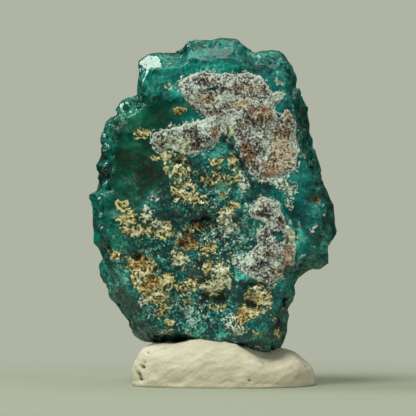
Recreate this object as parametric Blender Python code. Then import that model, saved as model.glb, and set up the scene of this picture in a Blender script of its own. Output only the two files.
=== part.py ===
"""Dioptase specimen: a plate of intergrown green crystals, set upright in a lump of white putty.

The camera side (-Y) is the broken contact face, which carries two scabs of grey host rock. Its
rim is chipped glassy ledges. The far side (+Y) is a crust of six-sided dioptase crystals with
three-faced tips. +Z is up, and the origin is the middle of the putty's flat base.
"""

import math
import random

import bmesh
import bpy
from mathutils import Matrix, Vector, noise

MM = 0.001
SEED = 11

# Clearance between pieces that touch.
GAP = 0.3

# Crystal plate, in mm: the middle of the outline and the depths along Y.
PLATE_MIDDLE = (-1.3, 24.7)
FRONT_FACE_Y = -5.6
BACK_FACE_Y = 4.6

# The plate's outline as seen from the front, (X, Z) in mm, clockwise from the top ridge.
OUTLINE = [
    (-5.1, 43.9), (-4.4, 44.8), (-3.6, 45.0), (-1.7, 44.9), (0.3, 44.9), (1.8, 45.1), (2.4, 45.0),
    (3.6, 43.9), (4.4, 43.3), (5.2, 43.6), (6.3, 43.7), (7.4, 43.6), (8.0, 43.0), (8.5, 42.2),
    (9.1, 41.5), (9.4, 40.3), (9.6, 38.9), (10.1, 38.2), (10.6, 37.7), (11.0, 36.5), (11.3, 35.0),
    (11.4, 33.9), (11.3, 32.9), (11.7, 31.8), (12.1, 30.6), (12.6, 29.1), (12.8, 28.1),
    (13.1, 26.9), (13.6, 25.5), (14.0, 24.6), (14.6, 23.5), (14.9, 22.1), (14.8, 21.2),
    (14.9, 20.1), (14.6, 19.0), (13.9, 17.9), (13.7, 17.0), (13.4, 16.1), (12.5, 15.6),
    (11.5, 15.5), (10.5, 14.6), (9.7, 13.9), (9.2, 12.9), (9.3, 12.0), (9.2, 10.9), (8.6, 9.8),
    (8.8, 9.0), (8.4, 7.7), (8.3, 6.8), (7.9, 5.7), (7.3, 4.8), (6.7, 3.9), (5.1, 3.3),
    (2.3, 3.1), (-1.0, 3.5), (-4.2, 4.2), (-6.8, 4.8), (-8.8, 5.3), (-10.2, 5.5), (-11.1, 6.0),
    (-12.0, 6.7), (-12.4, 7.5), (-12.3, 8.2), (-13.3, 9.2), (-14.0, 10.3), (-14.3, 11.1),
    (-14.8, 12.5), (-15.7, 13.2), (-16.1, 14.2), (-16.1, 15.5), (-15.7, 16.4), (-16.2, 17.6),
    (-16.8, 18.5), (-16.8, 19.8), (-16.8, 21.2), (-17.2, 22.8), (-17.6, 24.1), (-17.5, 24.8),
    (-17.0, 25.1), (-15.9, 25.4), (-15.7, 25.8), (-16.1, 27.4), (-16.4, 28.6), (-16.0, 29.7),
    (-15.7, 30.5), (-15.9, 31.3), (-15.7, 33.3), (-15.4, 34.1), (-14.7, 35.0), (-13.9, 35.3),
    (-14.1, 35.9), (-13.4, 36.2), (-12.7, 36.8), (-12.0, 37.3), (-11.2, 37.8), (-11.2, 39.6),
    (-11.1, 41.9), (-10.5, 42.7), (-9.7, 43.1), (-8.1, 43.2), (-6.3, 43.4), (-5.6, 43.6),
]

# Rim rings from the back cap to the front face: (share of the outline's radius, Y in mm,
# chip size in mm). The widest ring is the silhouette, so its radius isn't chipped.
RIM_RINGS = [
    (0.78, BACK_FACE_Y, 0.3),
    (0.93, 3.4, 0.5),
    (1.00, 1.2, 0.0),
    (0.965, -1.6, 0.55),
    (0.93, -3.7, 0.5),
]
GIRDLE_WANDER = 1.4

# The contact face starts at this share of the outline's radius. It is cut into square cells of
# this size in mm, and falls back by the dome towards its edge.
FACE_SHARE = 0.88
FACE_CELL = 1.2
FACE_DOME = 0.9

# Hollows and swells of the front face: (X, Z, radius along X, radius along Z, rise) in mm.
FACE_FORMS = [
    (-2.9, 20.6, 1.9, 1.1, -1.5), (-4.4, 17.8, 1.8, 1.6, -0.8), (-11.9, 16.6, 1.2, 0.9, -1.0),
    (-9.6, 16.2, 0.9, 0.8, -0.9), (-5.6, 29.2, 1.3, 0.9, -1.1), (1.4, 18.6, 1.6, 2.4, -0.9),
    (-1.6, 11.4, 1.3, 1.1, -0.9), (1.0, 10.0, 1.1, 1.0, -0.7), (3.6, 10.8, 1.0, 1.2, -0.8),
    (5.4, 17.0, 1.2, 1.0, -0.5), (2.6, 31.2, 0.7, 3.4, -0.4), (6.4, 20.0, 1.0, 0.8, -0.6),
    (12.0, 24.5, 1.0, 1.0, -0.7), (-15.4, 26.0, 1.6, 0.8, -0.6), (-1.0, 25.4, 2.4, 1.0, -0.5),
    (-11.2, 34.0, 3.6, 5.0, 0.7), (-12.2, 21.6, 3.0, 1.8, 0.6), (-9.4, 13.0, 3.2, 2.4, 0.6),
    (5.6, 35.0, 5.0, 4.6, 0.4), (12.4, 20.6, 1.6, 2.6, 0.5), (3.4, 7.6, 2.4, 2.0, 0.6),
    (-3.0, 6.6, 4.0, 1.6, 0.5), (-1.6, 41.8, 4.6, 1.6, 0.5), (-6.4, 23.4, 2.6, 1.6, 0.5),
]

# Straight cuts through the chipped rim, which leave flat ledges: (X, Y, Z) in mm of a point
# on the ledge, and its outward direction.
LEDGES = [
    ((-9.9, -4.0, 41.5), (-0.50, -0.62, 0.60)),
    ((-11.1, -1.5, 39.5), (-0.97, -0.22, 0.05)),
    ((-0.8, -3.4, 43.2), (0.05, -0.62, 0.78)),
    ((6.6, -4.1, 42.0), (0.25, -0.72, 0.64)),
    ((-15.4, -2.6, 28.3), (-0.82, -0.56, 0.08)),
    ((-16.6, -2.4, 21.3), (-0.84, -0.54, -0.10)),
    ((13.7, -3.2, 22.0), (0.80, -0.60, 0.02)),
    ((10.3, -3.4, 34.6), (0.86, -0.48, 0.12)),
    ((-15.2, -3.0, 14.8), (-0.80, -0.52, -0.26)),
    ((12.6, -3.2, 16.6), (0.56, -0.60, -0.58)),
]
LEDGE_REACH = 4.6

# Dioptase crystals: the tip's three faces lean this far from the crystal's long axis.
TIP_FACE_ANGLE = math.radians(51)
BACK_CRYSTALS = {"count": 30, "reach": 0.82, "widest": 4.3, "narrowest": 2.6, "tip_y": 8.2}
RIM_CRYSTALS = {"count": 44, "radius": 2.0, "length": 8.0, "near_y": -1.9, "far_y": 3.4}
SILHOUETTE_SHARE = 0.985

# Outlines of the two scabs of host rock on the contact face, (X, Z) in mm, clockwise.
UPPER_SCAB = [
    (-5.9, 38.6), (-5.2, 39.8), (-3.9, 40.3), (-2.2, 40.6), (-0.4, 40.2), (1.4, 40.3), (3.2, 40.4),
    (4.8, 39.8), (6.0, 38.7), (6.3, 37.6), (7.6, 38.0), (8.0, 37.0), (6.8, 36.4), (6.5, 35.4),
    (7.3, 34.8), (8.3, 35.6), (9.2, 34.9), (9.5, 33.2), (9.8, 31.4), (9.7, 29.4), (9.3, 27.8),
    (8.2, 27.4), (7.0, 26.7), (5.6, 26.3), (4.2, 26.5), (3.2, 27.6), (2.4, 29.4), (1.2, 31.4),
    (0.0, 32.6), (-1.2, 31.0), (-3.0, 30.0), (-5.2, 29.6), (-6.6, 30.6), (-8.0, 30.1),
    (-9.2, 31.3), (-9.0, 32.8), (-7.0, 33.2), (-4.2, 33.9), (-2.2, 34.6), (-3.4, 35.8),
    (-4.6, 36.9),
]
LOWER_SCAB = [
    (4.4, 24.2), (5.2, 24.6), (6.2, 24.2), (7.0, 23.4), (7.6, 21.6), (8.4, 20.0), (9.3, 19.2),
    (9.4, 17.6), (9.2, 15.8), (9.4, 14.4), (8.4, 13.4), (7.0, 13.1), (6.0, 12.5), (5.0, 13.4),
    (3.6, 14.2), (2.4, 15.0), (2.8, 15.8), (4.0, 16.6), (4.6, 18.2), (4.6, 19.8), (5.4, 20.6),
    (4.8, 21.4), (3.0, 21.6), (3.4, 22.8),
]
SCABS = {"matrix_scab_upper": UPPER_SCAB, "matrix_scab_lower": LOWER_SCAB}
SCAB_PROUD = 0.6
SCAB_EDGE_PROUD = 0.2
SCAB_CELL = 1.1

# Each scab sits in a shallow bed in the contact face, whose floor is at this Y in mm.
BED_FLOOR_Y = -4.1

# Putty lump, in mm: half its size on the shelf, the exponent that squares its plan, and the
# profile of its side as (share of the half size, share of the height).
PUTTY_HALF_WIDTH = 11.8
PUTTY_HALF_DEPTH = 8.4
PUTTY_SQUARENESS = 2.5
PUTTY_SIDES = 48
PUTTY_PROFILE = [
    (0.965, 0.0), (0.99, 0.10), (1.0, 0.30), (0.985, 0.52), (0.95, 0.72), (0.88, 0.88),
    (0.78, 0.97), (0.62, 1.0), (0.42, 1.0), (0.2, 1.0),
]

# Height of its top, and where that swells or sinks: (X, Y, radius along X, radius along Y, rise).
PUTTY_TOP = 5.3
PUTTY_SWELLS = [
    (-3.0, -6.0, 5.4, 3.4, 1.0), (7.6, 4.0, 3.0, 4.4, 0.5), (5.4, -6.5, 3.4, 3.4, -1.2),
    (11.6, -1.0, 2.6, 9.0, -2.0), (-3.0, 6.0, 5.0, 3.0, -0.8),
]
SOCKET_RISE = 9.0
SOCKET_GROWTH = 0.45


def to_metres(x, y, z):
    return Vector((x, y, z)) * MM


def material(name, colour, roughness, transmission=0.0):
    """A Principled material with one flat colour."""
    made = bpy.data.materials.new(name)
    made.use_nodes = True
    shader = made.node_tree.nodes["Principled BSDF"]
    shader.inputs["Base Color"].default_value = (*colour, 1.0)
    shader.inputs["Roughness"].default_value = roughness
    shader.inputs["Metallic"].default_value = 0.0
    shader.inputs["Transmission Weight"].default_value = transmission
    return made


def object_from(name, bm, finish=None):
    """Moves a bmesh into a new object of the scene."""
    mesh = bpy.data.meshes.new(name)
    bmesh.ops.recalc_face_normals(bm, faces=bm.faces)
    bm.to_mesh(mesh)
    bm.free()
    made = bpy.data.objects.new(name, mesh)
    bpy.context.scene.collection.objects.link(made)
    if finish:
        mesh.materials.append(finish)
    return made


def helper_from(name, bm):
    """An object that only shapes another one. Its faces are triangles, which can't be warped."""
    bmesh.ops.triangulate(bm, faces=bm.faces)
    made = object_from(name, bm)
    made.hide_render = True
    made.display_type = "WIRE"
    return made


def outline_radius(angle):
    """Distance in mm from the plate's middle to its outline, in a direction of the XZ plane."""
    turn = angle % math.tau
    before, after = POLAR_OUTLINE[-1], POLAR_OUTLINE[0]
    for index, (point_angle, _) in enumerate(POLAR_OUTLINE):
        if point_angle >= turn:
            before, after = POLAR_OUTLINE[index - 1], POLAR_OUTLINE[index]
            break
    span = (after[0] - before[0]) % math.tau
    share = ((turn - before[0]) % math.tau) / span
    return before[1] + (after[1] - before[1]) * share


def polar_outline():
    """The outline as (angle, radius) about the plate's middle, in rising angle."""
    return sorted(
        (math.atan2(z - PLATE_MIDDLE[1], x - PLATE_MIDDLE[0]) % math.tau,
         math.hypot(x - PLATE_MIDDLE[0], z - PLATE_MIDDLE[1]))
        for x, z in OUTLINE
    )


POLAR_OUTLINE = polar_outline()


def rock_noise(x, z, cell, offset=0.0):
    """Smooth noise from -1 to 1 whose lumps are about one cell wide, in mm."""
    return noise.noise(Vector((x / cell, offset, z / cell)))


def face_depth(x, z):
    """Y in mm of the contact face at a place in the XZ plane."""
    across, up = x - PLATE_MIDDLE[0], z - PLATE_MIDDLE[1]
    share = math.hypot(across, up) / outline_radius(math.atan2(up, across))
    depth = FRONT_FACE_Y + FACE_DOME * share ** 4
    for at_x, at_z, wide, high, rise in FACE_FORMS:
        distance = ((x - at_x) / wide) ** 2 + ((z - at_z) / high) ** 2
        depth -= rise * math.exp(-distance)
    return depth - 0.35 * rock_noise(x, z, 3.0) - 0.25 * rock_noise(x, z, 1.6, 5.0)


def rim_ring(bm, share, depth, chip, rng):
    """One ring through every outline point, roughened into chips."""
    ring = []
    for angle, radius in POLAR_OUTLINE:
        wander = GIRDLE_WANDER * rock_noise(10 * math.cos(angle), 10 * math.sin(angle), 4.0, 9.0)
        at = radius * share - rng.uniform(0, 2) * chip
        x = PLATE_MIDDLE[0] + at * math.cos(angle)
        z = PLATE_MIDDLE[1] + at * math.sin(angle)
        ring.append(bm.verts.new(to_metres(x, depth + wander + rng.uniform(-1, 1) * chip, z)))
    return ring


def loop_edges(bm, ring):
    return [bm.edges.new((ring[i - 1], ring[i])) for i in range(len(ring))]


def spaced(low, high, step):
    """Values between two ends, about one step apart."""
    count = max(1, round((high - low) / step))
    return [low + (high - low) * (index + 0.5) / count for index in range(count)]


def face_of_cells(bm, ring, cell):
    """Closes a ring with a face, cuts it into a grid along X and Z, and returns the cells."""
    part_of = bm.faces.layers.int.new("part_of_face")
    bm.faces.new(ring)[part_of] = 1
    places = [vertex.co / MM for vertex in ring]
    low_x, high_x = min(p.x for p in places), max(p.x for p in places)
    low_z, high_z = min(p.z for p in places), max(p.z for p in places)
    cuts = [((x, 0, 0), (1, 0, 0)) for x in spaced(low_x, high_x, cell)]
    cuts += [((0, 0, z), (0, 0, 1)) for z in spaced(low_z, high_z, cell)]
    for point, normal in cuts:
        faces = [f for f in bm.faces if f[part_of]]
        edges = list({edge for f in faces for edge in f.edges})
        verts = list({vertex for f in faces for vertex in f.verts})
        bmesh.ops.bisect_plane(bm, geom=verts + edges + faces, plane_co=to_metres(*point),
                               plane_no=normal)
    return [f for f in bm.faces if f[part_of]]


def plate_mesh(rng):
    """The plate without its crystals: rim rings bridged from the back cap to the contact face."""
    bm = bmesh.new()
    rings = [rim_ring(bm, *values, rng) for values in RIM_RINGS]
    rings.append(rim_ring(bm, FACE_SHARE, FRONT_FACE_Y, 0.0, rng))
    edges = [loop_edges(bm, ring) for ring in rings]
    for nearer, further in zip(edges, edges[1:]):
        bmesh.ops.bridge_loops(bm, edges=nearer + further)
    bm.faces.new(rings[0])
    cells = face_of_cells(bm, rings[-1], FACE_CELL)
    for vertex in {vertex for cell in cells for vertex in cell.verts}:
        vertex.co.y = face_depth(vertex.co.x / MM, vertex.co.z / MM) * MM
    bmesh.ops.triangulate(bm, faces=bm.faces)
    return bm


def ledge_cutter(point, direction, number):
    """A block that takes off what stands proud of one ledge."""
    bm = bmesh.new()
    bmesh.ops.create_cube(bm, size=LEDGE_REACH * MM)
    away = Vector(direction).normalized()
    bmesh.ops.translate(bm, verts=bm.verts, vec=(0, 0, LEDGE_REACH / 2 * MM))
    turn = away.to_track_quat("Z", "Y").to_matrix()
    bmesh.ops.rotate(bm, cent=(0, 0, 0), matrix=turn, verts=bm.verts)
    bmesh.ops.translate(bm, verts=bm.verts, vec=to_metres(*point))
    return helper_from(f"ledge_cutter_{number}", bm)


def crystal_mesh(radius, length, spin):
    """A six-sided prism along +Z from the origin, with three tip faces over every second edge."""
    bm = bmesh.new()
    uncut = (length + radius) * MM
    bmesh.ops.create_cone(bm, cap_ends=True, segments=6, radius1=radius * MM,
                          radius2=radius * MM, depth=uncut)
    bmesh.ops.translate(bm, verts=bm.verts, vec=(0, 0, uncut / 2))
    for third in range(3):
        around = math.radians(90 + 120 * third)
        lean = math.sin(TIP_FACE_ANGLE)
        facing = Vector((lean * math.cos(around), lean * math.sin(around), math.cos(TIP_FACE_ANGLE)))
        everything = bm.verts[:] + bm.edges[:] + bm.faces[:]
        bmesh.ops.bisect_plane(bm, geom=everything, plane_co=(0, 0, length * MM),
                               plane_no=facing, clear_outer=True)
        bmesh.ops.holes_fill(bm, edges=bm.edges)
    bmesh.ops.rotate(bm, cent=(0, 0, 0), matrix=Matrix.Rotation(spin, 3, "Z"), verts=bm.verts)
    return bm


def overhang(bm):
    """How far a crystal passes the silhouette in mm, and the direction to pull it back."""
    worst, back = 0.0, Vector()
    for vertex in bm.verts:
        x = vertex.co.x / MM - PLATE_MIDDLE[0]
        z = vertex.co.z / MM - PLATE_MIDDLE[1]
        past = math.hypot(x, z) - SILHOUETTE_SHARE * outline_radius(math.atan2(z, x))
        if past > worst:
            worst, back = past, -Vector((x, 0, z)).normalized()
    return worst, back


def place_crystal(name, bm, foot, axis):
    """Stands a crystal on its foot along its axis, and pulls it inside the silhouette."""
    turn = axis.normalized().to_track_quat("Z", "Y").to_matrix()
    bmesh.ops.rotate(bm, cent=(0, 0, 0), matrix=turn, verts=bm.verts)
    bmesh.ops.translate(bm, verts=bm.verts, vec=to_metres(*foot))
    for _ in range(8):
        past, back = overhang(bm)
        if past <= 0:
            break
        bmesh.ops.translate(bm, verts=bm.verts, vec=back * past * MM)
    return helper_from(name, bm)


def back_crystals(rng):
    """Crystals in a sunflower pattern over the far side, leaning outwards towards the rim."""
    sizes = BACK_CRYSTALS
    made = []
    for number in range(sizes["count"]):
        share = sizes["reach"] * math.sqrt((number + 0.5) / sizes["count"])
        angle = number * math.pi * (3 - math.sqrt(5)) + rng.uniform(-0.2, 0.2)
        at = outline_radius(angle) * share
        foot = (PLATE_MIDDLE[0] + at * math.cos(angle), 0.0, PLATE_MIDDLE[1] + at * math.sin(angle))
        radius = sizes["widest"] + (sizes["narrowest"] - sizes["widest"]) * share
        radius *= rng.uniform(0.8, 1.2)
        lean = math.radians(8 + 42 * share ** 2 + rng.uniform(-10, 10))
        heading = angle + rng.uniform(-0.6, 0.6)
        axis = Vector((math.sin(lean) * math.cos(heading), math.cos(lean),
                       math.sin(lean) * math.sin(heading)))
        length = (sizes["tip_y"] - 2.2 * share ** 2 + rng.uniform(-1.0, 0.6)) / math.cos(lean)
        crystal = crystal_mesh(radius, length, rng.uniform(0, math.tau))
        made.append(place_crystal(f"back_crystal_{number}", crystal, foot, axis))
    return made


def rim_crystals(rng):
    """Crystals that point outwards just inside the silhouette."""
    sizes = RIM_CRYSTALS
    made = []
    for number in range(sizes["count"]):
        angle = math.tau * (number + rng.uniform(-0.3, 0.3)) / sizes["count"]
        inward = outline_radius(angle) - sizes["length"] * 0.9
        depth = sizes["far_y"] if number % 2 else sizes["near_y"]
        foot = (PLATE_MIDDLE[0] + inward * math.cos(angle), depth - 0.6,
                PLATE_MIDDLE[1] + inward * math.sin(angle))
        heading = angle + rng.uniform(-0.35, 0.35)
        axis = Vector((math.cos(heading), rng.uniform(-0.05, 0.35), math.sin(heading)))
        radius = sizes["radius"] * rng.uniform(0.75, 1.25)
        crystal = crystal_mesh(radius, sizes["length"], rng.uniform(0, math.tau))
        made.append(place_crystal(f"rim_crystal_{number}", crystal, foot, axis))
    return made


def boolean(target, operation, helpers):
    """One Boolean modifier over a collection of helpers."""
    group = bpy.data.collections.new(f"{target.name}_helpers")
    bpy.context.scene.collection.children.link(group)
    for helper in helpers:
        bpy.context.scene.collection.objects.unlink(helper)
        group.objects.link(helper)
    modifier = target.modifiers.new(operation.title(), "BOOLEAN")
    modifier.operation = operation
    modifier.operand_type = "COLLECTION"
    modifier.collection = group


def make_crystals(finish):
    """The green piece: the plate with its ledges cut, its crystals joined on and its beds cut."""
    rng = random.Random(SEED)
    plate = object_from("dioptase_crystals", plate_mesh(rng), finish)
    boolean(plate, "DIFFERENCE", [ledge_cutter(*ledge, i) for i, ledge in enumerate(LEDGES)])
    boolean(plate, "UNION", back_crystals(rng) + rim_crystals(rng))
    boolean(plate, "DIFFERENCE", [bed_cutter(name, outline) for name, outline in SCABS.items()])
    return plate


def grown(outline, by):
    """An outline moved outwards along its corners' bisectors. It runs clockwise, as in the XZ view."""
    moved = []
    for before, corner, after in zip(outline[-1:] + outline, outline, outline[1:] + outline[:1]):
        along = Vector(after) - Vector(before)
        outwards = Vector((-along.y, along.x)).normalized()
        moved.append(tuple(Vector(corner) + outwards * by))
    return moved


def bed_cutter(name, outline):
    """A block of a scab's outline, grown by the gap, from the bed's floor forwards."""
    bm = bmesh.new()
    ring = [bm.verts.new(to_metres(x, BED_FLOOR_Y, z)) for x, z in grown(outline, GAP)]
    floor = bm.faces.new(ring)
    front = bmesh.ops.extrude_face_region(bm, geom=[floor])["geom"]
    front = [item for item in front if isinstance(item, bmesh.types.BMVert)]
    bmesh.ops.translate(bm, verts=front, vec=to_metres(0, 2 * BED_FLOOR_Y, 0))
    return helper_from(f"{name}_bed", bm)


def make_scab(name, outline, finish):
    """A crust of host rock in its bed, thin at its edge and lumpy over its middle."""
    bm = bmesh.new()
    cells = face_of_cells(bm, [bm.verts.new(to_metres(x, 0, z)) for x, z in outline], SCAB_CELL)
    skin = bmesh.ops.triangulate(bm, faces=cells)["faces"]
    border = {tuple(v.co) for edge in bm.edges if edge.is_boundary for v in edge.verts}
    for vertex in bmesh.ops.extrude_face_region(bm, geom=skin)["geom"]:
        if not isinstance(vertex, bmesh.types.BMVert):
            continue
        x, z = vertex.co.x / MM, vertex.co.z / MM
        lumps = 0.25 * rock_noise(x, z, 1.3, 2.0) + 0.15 * rock_noise(x, z, 0.7, 7.0)
        proud = SCAB_EDGE_PROUD if tuple(vertex.co) in border else SCAB_PROUD + lumps
        vertex.co.y = (face_depth(x, z) - proud) * MM
    for vertex in bm.verts:
        if vertex.co.y == 0:
            vertex.co.y = (BED_FLOOR_Y - GAP) * MM
    return object_from(name, bm, finish)


def putty_height(x, y):
    """Z in mm of the putty's top before it rounds off."""
    height = PUTTY_TOP + 0.3 * noise.noise(Vector((x / 3, y / 3, 4.0)))
    for at_x, at_y, wide, deep, rise in PUTTY_SWELLS:
        height += rise * math.exp(-((x - at_x) / wide) ** 2 - ((y - at_y) / deep) ** 2)
    return height


def putty_place(angle, share, level):
    """A point of the putty's skin, at a share of its plan size and of its height."""
    across, along = math.cos(angle), math.sin(angle)
    size = (abs(across) ** PUTTY_SQUARENESS + abs(along) ** PUTTY_SQUARENESS) ** (-1 / PUTTY_SQUARENESS)
    size *= share * (1 + 0.06 * noise.noise(Vector((1.4 * across, 1.4 * along, level))))
    x, y = PUTTY_HALF_WIDTH * size * across, PUTTY_HALF_DEPTH * size * along
    return to_metres(x, y, putty_height(x, y) * level)


def putty_mesh():
    """A pressed lump: rings from its flat base up to its uneven top."""
    bm = bmesh.new()
    rings = []
    for share, level in PUTTY_PROFILE:
        angles = [math.tau * side / PUTTY_SIDES for side in range(PUTTY_SIDES)]
        ring = [bm.verts.new(putty_place(angle, share, level)) for angle in angles]
        rings.append((ring, loop_edges(bm, ring)))
    for (_, nearer), (_, further) in zip(rings, rings[1:]):
        bmesh.ops.bridge_loops(bm, edges=nearer + further)
    bm.faces.new(rings[0][0])
    bm.faces.new(rings[-1][0])
    bmesh.ops.triangulate(bm, faces=bm.faces)
    return bm


def socket_cutter(crystals):
    """The lower end of the crystal plate as one convex lump, grown by the gap."""
    bpy.context.view_layer.update()
    graph = bpy.context.evaluated_depsgraph_get()
    points = [vertex.co.copy() for vertex in crystals.evaluated_get(graph).data.vertices
              if vertex.co.z < SOCKET_RISE * MM]
    bm = bmesh.new()
    for point in points:
        bm.verts.new(point)
    hull = bmesh.ops.convex_hull(bm, input=bm.verts)
    bmesh.ops.delete(bm, geom=[v for v in hull["geom_interior"] if v.is_valid], context="VERTS")
    middle = sum((vertex.co for vertex in bm.verts), Vector()) / len(bm.verts)
    for vertex in bm.verts:
        away = vertex.co - middle
        vertex.co += away.normalized() * SOCKET_GROWTH * MM
    return helper_from("socket_cutter", bm)


def make_putty(crystals, finish):
    """The putty lump with the socket that the specimen is pressed into."""
    putty = object_from("putty_base", putty_mesh(), finish)
    boolean(putty, "DIFFERENCE", [socket_cutter(crystals)])
    return putty


def main():
    for old in list(bpy.data.objects):
        bpy.data.objects.remove(old)
    green = material("dioptase", (0.0, 0.11, 0.075), 0.22, 0.3)
    rock = material("host_rock", (0.50, 0.47, 0.42), 0.85)
    clay = material("putty", (0.62, 0.58, 0.44), 0.7)
    crystals = make_crystals(green)
    for name, outline in SCABS.items():
        make_scab(name, outline, rock)
    make_putty(crystals, clay)


main()
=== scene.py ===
import math

import bmesh
import bpy
import numpy as np
from mathutils import Matrix, Vector, noise
from mathutils.bvhtree import BVHTree


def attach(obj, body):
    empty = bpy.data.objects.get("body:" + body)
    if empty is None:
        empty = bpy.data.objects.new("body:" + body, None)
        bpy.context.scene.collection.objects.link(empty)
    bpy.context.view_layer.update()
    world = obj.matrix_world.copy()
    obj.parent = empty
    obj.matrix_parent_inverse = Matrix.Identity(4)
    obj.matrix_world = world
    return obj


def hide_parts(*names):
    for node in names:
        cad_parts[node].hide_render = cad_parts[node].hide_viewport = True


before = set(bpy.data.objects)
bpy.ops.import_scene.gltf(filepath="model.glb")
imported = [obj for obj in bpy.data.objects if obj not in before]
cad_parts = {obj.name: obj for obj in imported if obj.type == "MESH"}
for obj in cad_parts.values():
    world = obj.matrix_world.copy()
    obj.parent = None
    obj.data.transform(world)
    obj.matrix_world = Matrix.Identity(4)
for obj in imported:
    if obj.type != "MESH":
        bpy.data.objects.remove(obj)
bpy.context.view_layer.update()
mm = 0.001  # the scene is in metres, and every size below is in millimetres


def linearColour(hexText):
    # an sRGB hex colour as the linear values that nodes take
    shares = [int(hexText[i:i + 2], 16) / 255 for i in (1, 3, 5)]
    linear = [s / 12.92 if s <= 0.04045 else ((s + 0.055) / 1.055) ** 2.4 for s in shares]
    return (*linear, 1.0)


def addNode(tree, kind, inputs=None, **settings):
    # inputs holds values and sockets to link, by the socket's name or number
    node = tree.nodes.new(kind)
    for name, value in settings.items():
        setattr(node, name, value)
    for key, value in (inputs or {}).items():
        if isinstance(value, bpy.types.NodeSocket):
            tree.links.new(value, node.inputs[key])
        else:
            node.inputs[key].default_value = value
    return node


def newMaterial(name):
    made = bpy.data.materials.new(name)
    made.use_nodes = True
    made.node_tree.nodes.clear()
    return made, made.node_tree


# Patterns and fields over points, which are rows of X, Y and Z in mm

# which stretch of the noise each pattern of the meshes reads
seeds = {
    "mapAcross": 3.0, "mapUp": 8.0, "seams": 15.0, "crustLumps": 12.0, "grain": 20.0,
    "swells": 30.0, "scoops": 5.0, "smallScoops": 9.0, "splinters": 2.0,
    "ragged": 40.0, "fineRagged": 45.0, "scabLumps": 50.0, "scabSwells": 60.0, "gapEdges": 55.0,
    "rockAcross": 70.0, "rockUp": 80.0,
    "puttyOutline": 90.0, "puttyPulls": 100.0, "puttyLumps": 110.0,
}


def noiseOver(points, size, octaves, offset):
    # layered noise from about -1 to 1, its largest lumps one size wide
    shift = Vector((offset, offset * 1.7, offset * 2.3))
    return np.array([noise.fractal(Vector(p) / size + shift, 0.8, 2.1, octaves) for p in points])


def layered(points, pattern, seed):
    # noise of a pattern: its reach or height and the size of its lumps in mm, and its octaves
    height, size, octaves = pattern
    return height * noiseOver(points, size, octaves, seeds[seed])


def dishesOver(points, size, offset):
    # 0 in the middle of each scoop and about 1 on the ridges between them
    shift = Vector((offset, offset, offset))
    nearest = [noise.voronoi(Vector(p) / size + shift)[0][0] for p in points]
    return np.minimum(1.0, np.array(nearest) ** 2 * 1.6)


def splintersOver(points, size, offset):
    # heights in mm of nearly flat faces that meet in ridges, each one tilted its own way
    shift, half = Vector((offset, offset, offset)), Vector((0.5, 0.5, 0.5))

    def height(away, cell):
        # the cell's own random tilt, and a slight dome
        return away.dot(noise.cell_vector(cell * 7.3) - half) - 0.3 * away.length_squared

    heights = []
    for point in points:
        place = Vector(point) / size + shift
        heights.append(max(height(place - cell, cell) for cell in noise.voronoi(place)[1]))
    return size * (np.array(heights) - 0.1)


def smoothStep(low, high, values):
    share = np.clip((values - low) / (high - low), 0, 1)
    return share * share * (3 - 2 * share)


def spotField(across, up, spots):
    # the strongest of several flat-topped spots: (X, Z, half width, half height, strength)
    field = np.zeros(len(across))
    for x, z, wide, high, strength in spots:
        reach = ((across - x) / wide) ** 2 + ((up - z) / high) ** 2
        field = np.maximum(field, strength * np.exp(-0.7 * reach ** 1.5))
    return field


def lineDistance(across, up, line):
    # distance to a line through the given points, in mm
    nearest = np.full(len(across), np.inf)
    for (x0, z0), (x1, z1) in zip(line, line[1:]):
        run, rise = x1 - x0, z1 - z0
        share = ((across - x0) * run + (up - z0) * rise) / (run * run + rise * rise)
        share = np.clip(share, 0, 1)
        nearest = np.minimum(nearest, np.hypot(across - x0 - share * run, up - z0 - share * rise))
    return nearest


def inwardDistance(across, up, outline):
    # distance to a closed outline in mm, positive inside it
    closed = outline + outline[:1]
    inside = np.zeros(len(across), bool)
    for (x0, z0), (x1, z1) in zip(closed, closed[1:]):
        if z0 != z1:
            crosses = (z0 > up) != (z1 > up)
            inside ^= crosses & (across < x0 + (up - z0) * (x1 - x0) / (z1 - z0))
    nearest = lineDistance(across, up, closed)
    return np.where(inside, nearest, -nearest)


# Meshes

def meshPoints(mesh):
    flat = np.empty(len(mesh.vertices) * 3)
    mesh.vertices.foreach_get("co", flat)
    return flat.reshape(-1, 3) / mm


def meshNormals(mesh):
    flat = np.empty(len(mesh.vertices) * 3, np.float32)
    mesh.vertex_normals.foreach_get("vector", flat)
    return flat.reshape(-1, 3).astype(float)


def setPoints(mesh, points):
    mesh.vertices.foreach_set("co", (points * mm).astype(np.float32).ravel())
    mesh.update()


def setField(mesh, name, values):
    made = mesh.attributes.new(name, "FLOAT", "POINT")
    made.data.foreach_set("value", values.astype(np.float32))


def pieceFrom(name, bm, finish, stoodFor, sharpAngle):
    # a shown piece at the origin, which rides on the root body and replaces CAD nodes
    mesh = bpy.data.meshes.new(name)
    bm.to_mesh(mesh)
    bm.free()
    mesh.materials.append(finish)
    mesh.shade_smooth()
    mesh.set_sharp_from_angle(angle=math.radians(sharpAngle))
    piece = bpy.data.objects.new(name, mesh)
    bpy.context.scene.collection.objects.link(piece)
    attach(piece, "root")
    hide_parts(stoodFor)
    return piece


def refine(bm, longestAt):
    # halves every edge that is longer than wanted where it lies, until none is
    for _ in range(6):
        edges = [e for e in bm.edges
                 if e.calc_length() > longestAt((e.verts[0].co + e.verts[1].co) / 2 / mm) * mm]
        if not edges:
            break
        bmesh.ops.subdivide_edges(bm, edges=edges, cuts=1)
        bmesh.ops.triangulate(bm, faces=[f for f in bm.faces if len(f.verts) > 3])


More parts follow.
